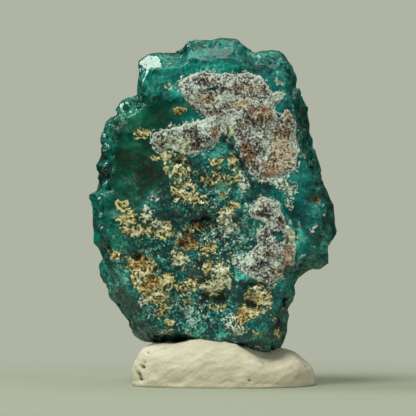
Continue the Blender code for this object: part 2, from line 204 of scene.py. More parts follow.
# The broken face, mapped as spots: (X, Z, half width, half height, strength), in mm
deposits = {
    "crust": [  # ochre and yellow lace
        (-5.5, 35.5, 0.9, 0.7, 0.8), (-4.1, 36.5, 0.4, 0.6, 0.9), (-10.3, 32.6, 1.2, 0.8, 0.75),
        (-8.65, 29.2, 0.5, 0.5, 0.9), (-7.2, 29.6, 1.1, 1.0, 0.85), (-5.6, 28.0, 2.3, 2.0, 0.67),
        (-4.9, 25.2, 2.0, 2.1, 0.67), (-3.6, 24.0, 1.9, 1.0, 0.7), (-0.9, 28.8, 1.2, 1.0, 0.64),
        (1.3, 29.0, 1.0, 1.5, 0.64), (-1.2, 26.6, 1.6, 1.2, 0.62), (0.4, 26.6, 1.2, 1.2, 0.54),
        (1.6, 23.4, 1.1, 0.5, 0.6), (0.2, 24.8, 0.9, 0.7, 0.65), (-12.9, 23.3, 1.1, 0.7, 0.8),
        (-12.4, 21.7, 1.5, 1.3, 0.72), (-11.7, 20.2, 1.5, 1.1, 0.75), (-10.4, 19.9, 1.6, 0.8, 0.75),
        (-8.4, 19.6, 1.9, 0.8, 0.75), (-7.0, 20.4, 1.1, 1.1, 0.72), (-9.6, 21.4, 2.4, 1.2, 0.45),
        (-14.0, 16.9, 1.1, 0.9, 0.7), (-10.8, 16.0, 2.1, 1.3, 0.8), (-9.4, 14.9, 1.6, 1.2, 0.72),
        (-10.6, 14.1, 1.5, 1.2, 0.78), (-9.2, 12.8, 2.4, 1.5, 0.78), (-7.2, 13.6, 1.6, 1.4, 0.75),
        (-8.3, 11.5, 2.0, 1.1, 0.66), (-7.7, 10.2, 1.1, 0.9, 0.68), (-4.8, 13.0, 1.7, 1.2, 0.64),
        (-4.9, 11.2, 1.3, 1.2, 0.55), (-4.5, 18.6, 1.4, 1.3, 0.72), (-5.6, 16.6, 1.4, 1.3, 0.66),
        (-1.9, 17.6, 1.2, 1.3, 0.6), (-2.0, 15.2, 1.2, 1.4, 0.55), (-0.3, 14.7, 1.6, 1.6, 0.66),
        (-1.3, 12.8, 1.8, 1.3, 0.66), (4.4, 11.7, 1.9, 1.6, 0.72), (3.6, 9.8, 2.0, 1.2, 0.72),
        (2.5, 9.0, 1.0, 1.4, 0.68), (5.6, 11.2, 0.9, 1.6, 0.66), (4.5, 7.0, 0.9, 0.5, 0.6),
        (7.1, 7.0, 0.7, 0.9, 0.62), (8.0, 10.0, 0.4, 0.9, 0.55), (-6.8, 8.1, 0.9, 0.6, 0.62),
        (0.7, 22.5, 1.2, 0.6, 0.62), (-2.3, 20.5, 0.9, 0.6, 0.55), (-3.4, 20.8, 1.5, 0.45, 0.75),
        (-6.0, 18.9, 0.9, 0.9, 0.5), (-1.0, 10.8, 2.2, 1.2, 0.5), (-7.0, 16.4, 1.2, 2.0, 0.36),
        (-1.2, 22.0, 3.2, 2.0, 0.38), (-3.6, 15.4, 2.4, 2.4, 0.4), (6.6, 9.0, 1.2, 2.2, 0.38),
        (-0.6, 13.6, 1.6, 2.2, 0.7), (-3.8, 13.2, 1.2, 0.9, 0.68), (-5.4, 16.4, 1.2, 1.5, 0.6),
        (-1.4, 17.8, 0.9, 1.2, 0.66), (-4.0, 20.2, 1.8, 0.5, 0.62), (0.9, 16.6, 0.7, 1.2, 0.52),
        (-0.2, 22.6, 0.8, 0.6, 0.6), (1.8, 27.4, 0.9, 1.2, 0.62), (-0.4, 10.4, 0.9, 0.5, 0.6),
        (12.0, 24.3, 0.7, 0.95, 0.72),
    ],
    "rust": [  # where the lace turns orange or brown
        (-4.1, 36.4, 0.6, 0.8, 1.0), (-5.6, 35.3, 0.8, 0.6, 0.9), (-10.2, 32.8, 0.7, 0.5, 0.7),
        (-0.6, 27.9, 0.6, 0.35, 1.0),
        (0.0, 24.9, 0.7, 0.6, 1.0), (-1.6, 25.9, 0.7, 0.5, 0.75), (-12.6, 21.8, 0.9, 1.0, 0.5),
        (-4.4, 18.6, 1.5, 1.3, 0.85), (-3.4, 20.9, 1.4, 0.5, 0.7), (-10.8, 16.2, 1.7, 1.2, 0.75),
        (-9.2, 13.4, 1.4, 1.2, 0.8), (-8.2, 20.9, 1.2, 0.5, 0.5), (-14.0, 16.9, 0.9, 0.8, 0.6),
        (-5.6, 17.0, 0.9, 0.9, 0.5), (4.0, 10.3, 1.0, 1.2, 0.6), (2.5, 9.2, 0.7, 1.3, 0.85),
        (5.9, 12.9, 0.6, 0.8, 0.8), (-1.9, 20.5, 0.9, 0.5, 0.7), (-1.8, 17.6, 0.8, 0.9, 0.6),
        (0.2, 15.8, 0.5, 0.4, 0.9), (-3.9, 14.6, 0.6, 1.3, 0.8), (-13.6, 12.1, 0.6, 0.9, 0.9),
        (-3.5, 11.6, 0.6, 0.5, 0.6), (-8.4, 11.2, 0.6, 0.5, 0.6), (-7.0, 29.6, 0.5, 0.4, 0.35),
        (-11.2, 9.6, 0.8, 0.8, 0.4), (-1.2, 10.6, 0.5, 0.5, 0.6),
        (0.1, 32.5, 0.3, 0.5, 0.8), (0.9, 31.5, 0.3, 0.6, 0.8),
        (12.0, 24.2, 0.8, 1.1, 1.0), (-6.9, 16.0, 0.6, 1.2, 0.5), (1.4, 25.6, 0.6, 0.5, 0.6),
        (-5.2, 27.2, 0.5, 0.5, 0.5), (-14.6, 10.4, 0.6, 1.0, 0.8), (-12.0, 8.8, 0.8, 1.2, 0.5),
    ],
    "cream": [  # white and cream lace
        (2.8, 26.0, 0.9, 0.9, 0.9), (2.1, 16.3, 0.8, 1.0, 0.8), (-9.6, 22.2, 1.3, 0.9, 0.75),
        (-8.3, 20.9, 1.3, 0.6, 0.8),
        (-10.0, 11.0, 1.1, 0.8, 0.8), (-5.5, 16.5, 1.2, 1.1, 0.75), (5.6, 10.7, 0.6, 0.7, 0.75),
        (2.6, 7.3, 1.1, 0.6, 0.75), (-7.0, 6.9, 1.6, 0.5, 0.75), (-4.4, 6.9, 0.8, 0.5, 0.7),
        (0.5, 21.1, 1.1, 1.6, 1.1), (-7.1, 38.7, 0.9, 0.6, 0.6), (7.2, 26.6, 1.5, 1.0, 0.85),
        (8.5, 25.4, 1.2, 1.4, 0.75),
        (8.6, 24.0, 0.7, 0.9, 0.75), (7.2, 39.3, 0.8, 0.4, 0.85), (10.3, 29.6, 0.55, 0.3, 0.9),
        (12.7, 22.2, 0.2, 0.2, 1.0), (9.8, 20.9, 0.25, 0.5, 0.9), (11.4, 20.1, 0.5, 0.4, 0.85),
        (11.9, 20.6, 0.35, 0.35, 0.85), (13.2, 19.8, 0.4, 0.4, 0.8), (10.3, 16.8, 0.25, 0.5, 0.8),
        (-1.1, 13.2, 1.6, 1.1, 0.74), (-0.3, 14.9, 1.4, 1.3, 0.7), (-7.2, 10.2, 2.6, 1.6, 0.4),
        (-3.0, 10.4, 3.4, 2.0, 0.42), (-2.4, 12.2, 0.6, 0.9, 0.7), (1.2, 8.3, 1.2, 1.5, 0.66),
        (-1.0, 26.0, 3.6, 3.6, 0.42), (2.2, 19.0, 1.8, 3.4, 0.44), (-1.2, 18.0, 2.8, 4.2, 0.46),
        (-8.8, 24.2, 1.4, 0.7, 0.5), (4.4, 5.4, 2.8, 0.9, 0.42), (-5.0, 22.2, 2.6, 1.6, 0.32),
        (-4.9, 25.4, 1.6, 2.2, 0.48), (-9.0, 15.6, 2.2, 3.4, 0.36), (6.0, 16.6, 3.0, 3.6, 0.3),
        (3.0, 23.0, 0.35, 2.4, 0.55), (9.9, 37.2, 0.6, 1.6, 0.3), (-5.2, 16.2, 1.0, 1.2, 0.62),
        (0.6, 13.4, 0.6, 1.4, 0.62), (-6.2, 19.6, 1.6, 0.5, 0.55), (0.2, 18.0, 1.4, 1.2, 0.5),
        (-3.0, 8.4, 3.6, 1.4, 0.4), (-9.0, 9.4, 1.4, 1.0, 0.46), (-1.6, 23.6, 1.8, 0.8, 0.44),
    ],
    "glow": [  # turquoise, where the crystal is thin or full of small cracks, brightened with painted light shining through it
        (-2.3, 41.0, 4.8, 0.9, 0.8), (-8.6, 39.2, 2.4, 1.8, 0.5), (6.8, 43.2, 1.1, 0.6, 1.0),
        (4.8, 42.8, 1.2, 0.6, 0.5),
        (8.0, 42.0, 0.6, 0.9, 0.7), (7.0, 40.2, 1.0, 0.8, 0.55), (-6.3, 37.9, 1.2, 1.1, 0.9),
        (9.8, 34.7, 0.5, 0.9, 0.5), (11.4, 30.6, 0.6, 2.2, 0.45), (13.3, 17.8, 0.8, 0.7, 1.0),
        (9.9, 19.4, 0.6, 1.1, 0.95), (13.3, 19.4, 0.5, 0.5, 0.7), (11.4, 16.0, 1.6, 1.0, 0.55),
        (8.5, 13.4, 0.7, 1.1, 0.95), (2.7, 14.3, 1.1, 0.6, 1.0), (-0.2, 25.9, 0.8, 0.7, 0.95),
        (-1.4, 30.0, 1.6, 1.0, 0.7), (-13.4, 13.9, 1.2, 2.0, 0.65), (-10.7, 9.1, 1.3, 1.0, 0.55),
        (-2.9, 9.8, 4.2, 2.2, 0.42), (-0.2, 6.6, 0.9, 0.6, 0.9), (-17.0, 23.2, 0.7, 2.0, 0.5),
        (-2.2, 22.4, 1.8, 1.0, 0.45), (3.0, 19.8, 1.6, 1.6, 0.4), (-13.6, 31.6, 2.2, 1.6, 0.25),
        (-11.8, 25.6, 2.4, 0.8, 0.2), (-15.0, 22.0, 1.4, 2.4, 0.25), (12.4, 25.4, 1.2, 3.4, 0.22),
        (9.4, 13.8, 0.8, 0.8, 0.7), (-9.2, 18.0, 3.0, 0.8, 0.3), (-15.4, 13.0, 1.2, 2.0, 0.75),
        (13.0, 17.9, 0.9, 0.8, 1.0), (-12.4, 11.6, 0.8, 1.4, 0.5),
    ],
    "haze": [  # brown clouds under the glassy surface
        (-10.5, 27.7, 3.2, 3.2, 1.0), (-8.4, 26.0, 2.2, 1.8, 0.6), (-7.5, 34.6, 1.8, 1.4, 0.4),
        (-12.0, 8.6, 1.8, 2.0, 0.65), (-12.8, 11.8, 0.8, 1.4, 0.8), (6.6, 8.4, 1.6, 2.4, 0.35),
        (-11.0, 24.9, 2.6, 0.7, 0.35),
    ],
    "gloom": [  # deep, nearly black green, partly the thick crystal's own colour and partly painted shade in hollows
        (5.8, 26.2, 1.6, 0.8, 0.8), (4.6, 24.0, 1.0, 1.4, 0.5), (10.2, 22.4, 1.2, 2.2, 0.45),
        (-10.8, 18.2, 2.6, 0.5, 0.5), (-7.4, 24.0, 1.6, 1.4, 0.6), (-2.2, 13.7, 0.7, 0.8, 0.9),
        (-15.4, 28.2, 0.8, 2.6, 0.6), (10.6, 34.8, 0.6, 3.0, 0.75), (7.4, 8.4, 1.6, 2.8, 0.6),
        (-3.2, 28.6, 0.6, 1.6, 0.6), (-7.8, 22.6, 1.2, 0.8, 0.6), (1.4, 24.2, 0.8, 0.6, 0.5),
        (3.4, 29.0, 0.35, 1.6, 0.7), (9.6, 27.8, 0.9, 2.2, 0.4), (-6.5, 33.4, 1.6, 0.8, 0.35),
        (1.0, 13.0, 0.8, 0.8, 0.5), (11.8, 18.3, 1.2, 0.25, 0.7), (-9.0, 5.9, 3.0, 0.5, 0.6),
        # the chain of spots from (0.3, 32.0) to (3.9, 25.9) is a painted shadow along the upper scab's
        # lower edge
        (4.8, 13.3, 1.6, 0.3, 0.8), (0.3, 32.0, 0.35, 0.6, 1.0), (1.0, 30.9, 0.35, 0.7, 1.0),
        (1.7, 29.6, 0.35, 0.7, 1.0), (2.4, 28.3, 0.35, 0.7, 1.0), (3.1, 27.1, 0.35, 0.7, 1.0),
        (3.9, 25.9, 0.35, 0.7, 0.9), (-3.0, 22.6, 2.2, 0.9, 0.6), (-6.2, 21.8, 1.2, 1.4, 0.6),
        (-11.8, 18.0, 1.6, 0.6, 0.5), (0.8, 16.9, 0.8, 1.2, 0.6), (-6.2, 14.9, 0.5, 0.9, 0.6),
        (-0.4, 19.4, 1.4, 0.7, 0.7), (2.0, 21.8, 0.7, 1.4, 0.7), (-2.8, 16.2, 0.6, 1.4, 0.7),
        (-6.8, 17.6, 1.0, 0.7, 0.6), (-2.7, 26.8, 0.7, 1.8, 0.7), (0.2, 12.0, 0.7, 0.6, 0.7),
        (-5.2, 9.6, 1.6, 0.7, 0.6), (-12.6, 28.6, 1.6, 3.0, 0.4), (9.0, 22.6, 1.6, 1.8, 0.6),
        (8.4, 36.2, 0.7, 1.2, 0.6), (3.4, 24.4, 1.0, 0.7, 0.6), (-1.2, 8.2, 1.6, 0.5, 0.5),
    ],
    "frost": [  # pale grey-green splintered crystal, partly a painted reflection on upturned facets at the top
        (0.4, 43.3, 5.0, 1.2, 0.5), (-8.0, 41.4, 1.6, 1.1, 0.9), (-6.6, 42.2, 2.2, 0.9, 0.8),
        (-14.3, 33.8, 1.7, 1.5, 0.7), (5.4, 42.2, 2.4, 1.5, 0.9), (-15.2, 24.7, 1.4, 0.35, 0.8),
        (-13.0, 13.8, 1.5, 2.2, 0.4), (-16.4, 17.4, 0.5, 1.0, 0.6), (-15.2, 27.2, 0.5, 0.8, 0.5),
        (-4.6, 37.0, 1.2, 1.3, 0.5), (10.6, 33.0, 1.0, 4.0, 0.3), (-10.9, 24.3, 1.4, 0.3, 0.8),
        (-16.6, 21.4, 0.6, 1.0, 0.4), (-10.6, 38.4, 0.4, 1.6, 0.7),
    ],
    "emerald": [  # greener crystal, against the bluer teal of the rest
        (-10.5, 32.0, 5.0, 9.0, 1.0), (-13.0, 22.0, 4.0, 8.0, 0.8), (-9.0, 39.0, 3.0, 3.0, 0.6),
    ],
    "pale": [  # grainy ground that is full of pale flecks
        (0.5, 26.0, 4.0, 4.0, 1.0), (2.0, 18.5, 3.0, 4.0, 0.8), (-4.0, 8.0, 6.0, 3.0, 0.8),
        (-8.0, 17.0, 3.0, 4.0, 0.7), (8.0, 22.0, 3.0, 3.0, 0.4),
    ],
    "mottle": [  # grainy ground, set against the smooth glassy areas
        (-2.0, 22.0, 7.5, 8.5, 1.0), (-4.0, 10.0, 9.5, 5.5, 1.0), (-9.0, 16.0, 6.0, 5.0, 1.0),
        (3.0, 16.0, 5.0, 7.0, 0.9), (-13.5, 14.0, 2.6, 4.0, 0.7), (6.0, 7.0, 3.0, 4.0, 0.8),
        (7.0, 42.0, 2.4, 1.6, 0.7), (9.0, 20.0, 2.5, 3.0, 0.4), (12.4, 26.0, 2.2, 8.0, 0.55),
        (10.4, 34.6, 1.6, 4.6, 0.55), (12.6, 20.4, 1.6, 1.6, 0.5), (-14.4, 33.6, 1.4, 2.0, 0.35),
        (-6.0, 38.0, 1.2, 1.2, 0.5),
    ],
}

# Thin lines along the face, as points of X and Z in mm, with half widths: dark ones, which are
# cracks except the first, a painted shadow, and turquoise ones where light gets in
seams = {
    "darkSeam": [
        # painted shadow along the lower edge of the upper scab, not a crack
        ([(0.1, 33.2), (0.9, 31.6), (1.9, 29.9), (2.7, 28.4), (3.4, 26.8), (3.9, 25.4)], 0.2),
        ([(-4.6, 29.7), (-4.0, 28.6), (-3.9, 27.2)], 0.14),
        ([(4.3, 15.0), (5.0, 13.2), (6.6, 12.9)], 0.13),
        ([(-15.6, 31.2), (-15.3, 28.6), (-15.5, 26.0)], 0.14),
        ([(-10.9, 17.9), (-8.0, 18.3)], 0.16),
    ],
    "brightSeam": [
        ([(7.2, 23.6), (8.2, 22.0), (9.1, 20.3)], 0.1), ([(9.3, 18.8), (9.9, 16.8), (9.6, 14.4)], 0.16),
        ([(-16.6, 19.6), (-16.2, 17.6)], 0.1), ([(5.9, 14.0), (7.6, 13.3), (8.6, 11.8)], 0.1),
    ],
}

# Hollows of the broken face, also darkened with painted shade: (X, Z, half width, half height, depth)
# in mm
hollows = [
    (-5.8, 28.75, 0.5, 0.4, 0.7), (-4.5, 28.7, 0.5, 0.4, 0.7), (-11.1, 16.6, 0.65, 0.5, 0.9),
    (-9.8, 16.2, 0.35, 0.35, 0.6), (-8.7, 15.1, 0.6, 0.5, 0.8), (-9.2, 13.9, 0.5, 0.5, 0.4),
    (-3.3, 21.3, 0.8, 0.35, 0.8), (-2.3, 21.6, 0.9, 0.35, 0.9), (-0.4, 11.2, 0.8, 0.7, 1.1),
    (-2.3, 11.6, 0.5, 0.6, 0.9), (3.5, 10.7, 0.65, 0.45, 0.9), (-5.1, 18.4, 0.7, 0.6, 0.5),
    (12.0, 24.3, 0.4, 0.6, 0.6), (6.0, 27.0, 1.4, 0.4, 0.4), (-2.2, 13.6, 0.5, 0.6, 0.4),
    (3.6, 13.2, 1.6, 0.25, 0.5), (-9.6, 22.2, 0.3, 0.25, 0.3), (0.2, 20.2, 0.25, 0.3, 0.3),
    (1.4, 23.9, 0.5, 0.35, 0.4), (-12.0, 19.4, 0.35, 0.5, 0.35), (4.6, 8.2, 0.5, 0.35, 0.4),
    (-7.2, 8.9, 0.6, 0.3, 0.35), (0.9, 5.6, 0.7, 0.4, 0.5), (-6.0, 22.0, 0.4, 0.6, 0.3),
]


# Dioptase: a copper silicate with the lustre of glass, broken across the crystals on this face.
# It is deep emerald in the thick, with painted shade in its hollows, and turquoise at thin or cracked
# edges, where painted light shines through; the ochre and cream lace on it is dull earthy clay and
# lime.
crystalFinish = {
    "ior": 1.66,
    "absorption": "#0a8f68",
    "absorptionPerMetre": 750.0,
    "clearShare": 0.34,  # how much light goes into the glassy areas, and into the grainy ones
    "grainyShare": 0.08,
    "glassyRoughness": 0.13,  # on the rim and the far side's crystals
    "faceRoughness": 0.26,  # where the broken face is smooth
    "grainyRoughness": 0.48,
    "laceRoughness": 0.85,
    # noise patterns: size in mm, detail, roughness, distortion, and which stretch of the noise
    "patterns": {
        "broad": (3.2, 3, 0.6, 0.0, 0.0),
        "patches": (0.9, 5, 0.65, 0.5, 1.0),
        "lace": (0.8, 6, 0.74, 0.5, 2.0),
        "otherLace": (0.6, 7, 0.74, 0.6, 3.0),
        "grain": (0.3, 3, 0.7, 0.0, 4.0),
        "tint": (0.55, 5, 0.7, 0.3, 5.0),
        "specks": (0.2, 2, 0.7, 0.0, 6.0),
        "splinters": (0.7, 6, 0.7, 1.6, 7.0),
        "growth": (1.6, 2, 0.5, 0.0, 0.0),
    },
    "cellSizes": {"flakes": 0.24, "planes": 1.5, "walls": 0.8, "fineWalls": 0.45, "slivers": 0.5},
    # for each effect: the value where it starts and where it is full, and its share at both
    "ranges": {
        "glow": (0.95, 1.5, 0.0, 1.0),
        "lit": (0.92, 1.2, 0.0, 0.9),
        "gloom": (0.45, 1.05, 0.0, 0.85),
        "clouds": (0.46, 0.52, 0.0, 0.95),
        "frost": (0.49, 0.62, 0.0, 0.8),
        "crust": (0.555, 0.62, 0.0, 1.0),
        "besideCrust": (0.415, 0.555, 0.0, 0.5),
        "crustHeart": (0.57, 0.76, 0.0, 1.0),
        "cream": (0.54, 0.62, 0.0, 1.0),
        "besideCream": (0.4, 0.54, 0.0, 0.5),
        "rust": (1.0, 1.5, 0.0, 0.85),
        "stain": (0.4, 1.0, 0.0, 0.75),
        "stainBreaks": (0.56, 0.46, 0.0, 1.0),
        "yellowed": (0.1, 0.5, 0.0, 0.6),
        "hollow": (1.0, 1.5, 0.0, 0.85),
    },
    "seamShare": 0.9,
    "laceBump": (0.5, 0.1),  # strengths and depths in mm
    "growthBump": (0.25, 0.12),
    "planeBump": 0.6,
    "sliverBump": 0.4,
    "emerald": [(0.37, "#003f2e"), (0.5, "#00684e"), (0.61, "#00936e")],
    "teal": [(0.38, "#005c5b"), (0.5, "#008480"), (0.62, "#08aba2")],
    "frost": [(0.42, "#1f6152"), (0.5, "#5c8f7f"), (0.6, "#b9cfc2")],
    # grainy ground from dark to light, by how far the grain noise goes
    "grainyGround": [
        (0.455, "#02181d"), (0.488, "#043238"), (0.517, "#075b58"), (0.547, "#0f887d"),
        (0.582, "#5cbbaa"), (0.615, "#d3e5d9"),
    ],
    "turquoise": [(0.4, "#04837a"), (0.5, "#10ae9f"), (0.6, "#57ddca")],
    "litTurquoise": [(0.4, "#07998e"), (0.5, "#1fcab8"), (0.6, "#8cf0df")],
    "brownCloud": "#33341f",
    "blackGreen": "#04201c",
    "ochreLace": [
        (0.40, "#2a4433"), (0.435, "#77734a"), (0.465, "#b3a562"), (0.5, "#dacb88"),
        (0.545, "#eae0b6"), (0.61, "#f7f3e1"),
    ],
    # the same lace along its ragged edges
    "ochreEdge": [
        (0.40, "#1d3a2a"), (0.45, "#6c6c33"), (0.50, "#b49c47"), (0.56, "#d6c26d"), (0.63, "#ebe1ae"),
    ],
    "rustLace": [
        (0.39, "#1d1c12"), (0.44, "#503818"), (0.50, "#855e27"), (0.56, "#b0873d"), (0.63, "#dac583"),
    ],
    "creamLace": [
        (0.41, "#1f403d"), (0.455, "#6f8c82"), (0.50, "#bccdbd"), (0.56, "#e3eadd"), (0.64, "#f2f4ea"),
    ],
}


def nodeTools(tree):
    # short calls for the patterns that the materials below share
    place = addNode(tree, "ShaderNodeTexCoord").outputs["Object"]

    def field(name):
        return addNode(tree, "ShaderNodeAttribute", attribute_name=name).outputs["Fac"]

    def noiseOf(sizeInMm, detail, roughness=0.6, distortion=0.0, shift=0.0):
        moved = addNode(tree, "ShaderNodeVectorMath", {0: place, 1: (shift, shift, shift)},
                        operation="ADD")
        return addNode(tree, "ShaderNodeTexNoise", {
            "Vector": moved.outputs[0], "Scale": 1 / (sizeInMm * mm), "Detail": detail,
            "Roughness": roughness, "Distortion": distortion}).outputs["Fac"]

    def combine(operation, *values):
        return addNode(tree, "ShaderNodeMath", dict(enumerate(values)), operation=operation).outputs[0]

    def between(value, low, high, start=0.0, end=1.0):
        return addNode(tree, "ShaderNodeMapRange", {
            "Value": value, "From Min": low, "From Max": high, "To Min": start, "To Max": end},
            interpolation_type="SMOOTHSTEP").outputs[0]

    def blend(share, first, second):
        first = linearColour(first) if isinstance(first, str) else first
        second = linearColour(second) if isinstance(second, str) else second
        return addNode(tree, "ShaderNodeMix", {0: share, 6: first, 7: second},
                       data_type="RGBA").outputs[2]

    def ramp(value, stops):
        made = addNode(tree, "ShaderNodeValToRGB", {"Fac": value})
        elements = made.color_ramp.elements
        elements[0].position, elements[1].position = stops[0][0], stops[-1][0]
        elements[0].color, elements[1].color = linearColour(stops[0][1]), linearColour(stops[-1][1])
        for position, colour in stops[1:-1]:
            elements.new(position).color = linearColour(colour)
        return made.outputs["Color"]

    def grainsOf(sizeInMm):
        return addNode(tree, "ShaderNodeTexVoronoi", {
            "Vector": place, "Scale": 1 / (sizeInMm * mm)}, feature="F1").outputs["Color"]

    return field, noiseOf, combine, between, blend, ramp, grainsOf


def cellWalls(tree, sizeInMm):
    # 1 along the walls of wavering cells and 0 inside them
    cell = sizeInMm * mm
    waverSize, waverReach = 0.6 * cell, 0.7 * cell
    place = addNode(tree, "ShaderNodeTexCoord").outputs["Object"]
    waver = addNode(tree, "ShaderNodeTexNoise", {
        "Vector": place, "Scale": 1 / waverSize, "Detail": 3.0, "Roughness": 0.6})
    shifted = addNode(tree, "ShaderNodeVectorMath", {
        0: waver.outputs["Color"], 1: (waverReach, waverReach, waverReach), 2: place},
        operation="MULTIPLY_ADD")
    cells = addNode(tree, "ShaderNodeTexVoronoi", {
        "Vector": shifted.outputs[0], "Scale": 1 / cell}, feature="DISTANCE_TO_EDGE")
    return addNode(tree, "ShaderNodeMapRange", {
        "Value": cells.outputs["Distance"], "From Min": 0.04, "From Max": 0.3,
        "To Min": 1.0, "To Max": 0.0}).outputs[0]


def facets(tree, sizeInMm):
    # a height in metres that lies flat over each cell, every cell tilted its own way
    place = addNode(tree, "ShaderNodeTexCoord").outputs["Object"]
    cells = addNode(tree, "ShaderNodeTexVoronoi", {
        "Vector": place, "Scale": 1 / (sizeInMm * mm)}, feature="F1")
    away = addNode(tree, "ShaderNodeVectorMath", {0: place, 1: cells.outputs["Position"]},
                   operation="SUBTRACT")
    tilt = addNode(tree, "ShaderNodeVectorMath", {0: cells.outputs["Color"], 1: (0.5, 0.5, 0.5)},
                   operation="SUBTRACT")
    return addNode(tree, "ShaderNodeVectorMath", {0: away.outputs[0], 1: tilt.outputs[0]},
                   operation="DOT_PRODUCT").outputs["Value"]


def crystalMaterial():
    look = crystalFinish
    made, tree = newMaterial("dioptaseCrystal")
    field, noiseOf, combine, between, blend, ramp, grainsOf = nodeTools(tree)
    broad, patches, lace, otherLace, grain, tint, specks, splinters, growth = [
        noiseOf(*pattern) for pattern in look["patterns"].values()]
    sizes = look["cellSizes"]
    flakes = combine("SUBTRACT", grainsOf(sizes["flakes"]), 0.5)
    mottle, rust, chipped = field("mottle"), field("rust"), field("chipped")

    def mixOf(first, firstShare, second, secondShare, third=0.5, thirdShare=0.0):
        part = combine("MULTIPLY_ADD", first, firstShare, combine("MULTIPLY", second, secondShare))
        return combine("MULTIPLY_ADD", third, thirdShare, part)

    def shown(effect, value):
        return between(value, *look["ranges"][effect])

    # each splinter of the rim has its own tone
    planes = combine("MULTIPLY", combine("SUBTRACT", grainsOf(sizes["planes"]), 0.5), chipped)
    glassyTone = mixOf(broad, 0.7, patches, 0.3, planes, 0.22)
    smooth = blend(field("emerald"), ramp(glassyTone, look["teal"]), ramp(glassyTone, look["emerald"]))
    # turquoise where the crystal is thin, partly painted light shining through it
    glow = shown("glow", mixOf(field("glow"), 1.0, patches, 1.6))
    smooth = blend(glow, smooth, ramp(tint, look["turquoise"]))
    # the lighter the patch of ground, the fewer of its grains are dark
    grainyTone = mixOf(mixOf(grain, 0.36, patches, 0.34), 1.0, mixOf(specks, 0.16, broad, 0.14), 1.0)
    grainyTone = mixOf(field("pale"), 0.03, glow, 0.05, grainyTone, 1.0)
    grainyTone = mixOf(grainyTone, 1.0, flakes, 0.1)
    colour = blend(mottle, smooth, ramp(grainyTone, look["grainyGround"]))
    # painted light: a lighter turquoise where light shines through the thin crystal
    lit = shown("lit", mixOf(field("glow"), 1.0, patches, 0.7))
    colour = blend(lit, colour, ramp(tint, look["litTurquoise"]))
    # partly painted shade: black-green in hollows and along the upper scab's lower edge
    gloom = shown("gloom", mixOf(field("gloom"), 1.0, patches, 0.5))
    colour = blend(gloom, colour, look["blackGreen"])
    clouds = combine("MULTIPLY", field("haze"), shown("clouds", mixOf(grain, 0.6, specks, 0.4)))
    colour = blend(clouds, colour, look["brownCloud"])
    # pale splintered crystal, partly a painted reflection on the upturned facets
    frost = combine("MULTIPLY", field("frost"), shown("frost", splinters))
    colour = blend(frost, colour, ramp(tint, look["frost"]))

    # lace: a deposit's field is worn by noise and by cells into ragged islands with holes
    def ragged(strength, wear, wall):
        reach = combine("MULTIPLY_ADD", strength, 2.1, 0.8)
        wearing = mixOf(wear, 0.85, grain, 0.25, flakes, 0.15)
        worn = combine("MULTIPLY", combine("SUBTRACT", wearing, 0.55), reach)
        thin = combine("MULTIPLY", combine("SUBTRACT", wall, 0.5), combine("MULTIPLY", strength, 0.55))
        return combine("ADD", combine("ADD", strength, thin), worn)

    crustReach = ragged(field("crust"), lace, cellWalls(tree, sizes["walls"]))
    creamField = combine("MAXIMUM", field("cream"), field("fringe"))
    creamReach = ragged(creamField, otherLace, cellWalls(tree, sizes["fineWalls"]))
    crust, cream = shown("crust", crustReach), shown("cream", creamReach)
    # painted shade: a dark rim on the ground just beside the raised lace
    shadeBesideLace = combine("MAXIMUM", shown("besideCrust", crustReach), shown("besideCream", creamReach))
    colour = blend(shadeBesideLace, colour, look["blackGreen"])
    laceTone = mixOf(mixOf(tint, 0.72, specks, 0.28), 1.0, flakes, 0.12)
    ochreLace, rustLace = ramp(laceTone, look["ochreLace"]), ramp(laceTone, look["rustLace"])
    ochre = blend(shown("crustHeart", crustReach), ramp(laceTone, look["ochreEdge"]), ochreLace)
    ochre = blend(shown("rust", mixOf(rust, 1.0, patches, 1.5)), ochre, rustLace)
    colour = blend(crust, colour, ochre)
    stain = combine("MULTIPLY", shown("stain", rust), shown("stainBreaks", tint))
    colour = blend(stain, colour, rustLace)
    creamLace = blend(shown("yellowed", field("crust")), ramp(laceTone, look["creamLace"]), ochreLace)
    colour = blend(cream, colour, creamLace)
    # painted shade: the hollows are darkened to black-green
    hollow = shown("hollow", mixOf(field("hollow"), 1.0, lace, 1.6))
    colour = blend(hollow, colour, look["blackGreen"])
    # dark cracks, and the painted shadow along the upper scab's lower edge
    seam = combine("MULTIPLY", field("darkSeam"), look["seamShare"])
    colour = blend(seam, colour, look["blackGreen"])
    seam = combine("MULTIPLY", field("brightSeam"), look["seamShare"])
    colour = blend(seam, colour, ramp(tint, look["turquoise"]))

    dull = combine("MAXIMUM", crust, cream)
    share = between(mottle, 0.0, 1.0, look["clearShare"], look["grainyShare"])
    clear = combine("MULTIPLY", combine("SUBTRACT", 1.0, dull), share)
    smoothness = between(field("broken"), 0.0, 1.0, look["glassyRoughness"], look["faceRoughness"])
    groundRoughness = addNode(tree, "ShaderNodeMix", {
        0: mottle, 2: smoothness, 3: look["grainyRoughness"]}).outputs[0]
    roughness = addNode(tree, "ShaderNodeMix", {
        0: dull, 2: groundRoughness, 3: look["laceRoughness"]}).outputs[0]

    # relief finer than the mesh: lace and grit, growth lines, and the planes and slivers of chips
    grit = combine("MULTIPLY", combine("MULTIPLY_ADD", mottle, 0.9, 0.1), grain)
    strength, depth = look["laceBump"]
    bump = addNode(tree, "ShaderNodeBump", {
        "Strength": strength, "Distance": depth * mm,
        "Height": combine("MULTIPLY_ADD", dull, 0.6, grit)})
    strength, depth = look["growthBump"]
    bump = addNode(tree, "ShaderNodeBump", {
        "Strength": strength, "Distance": depth * mm, "Height": growth, "Normal": bump.outputs[0]})
    for size, strength in (("planes", look["planeBump"]), ("slivers", look["sliverBump"])):
        bump = addNode(tree, "ShaderNodeBump", {
            "Strength": combine("MULTIPLY", chipped, strength), "Distance": 0.8,
            "Height": facets(tree, sizes[size]), "Normal": bump.outputs[0]})

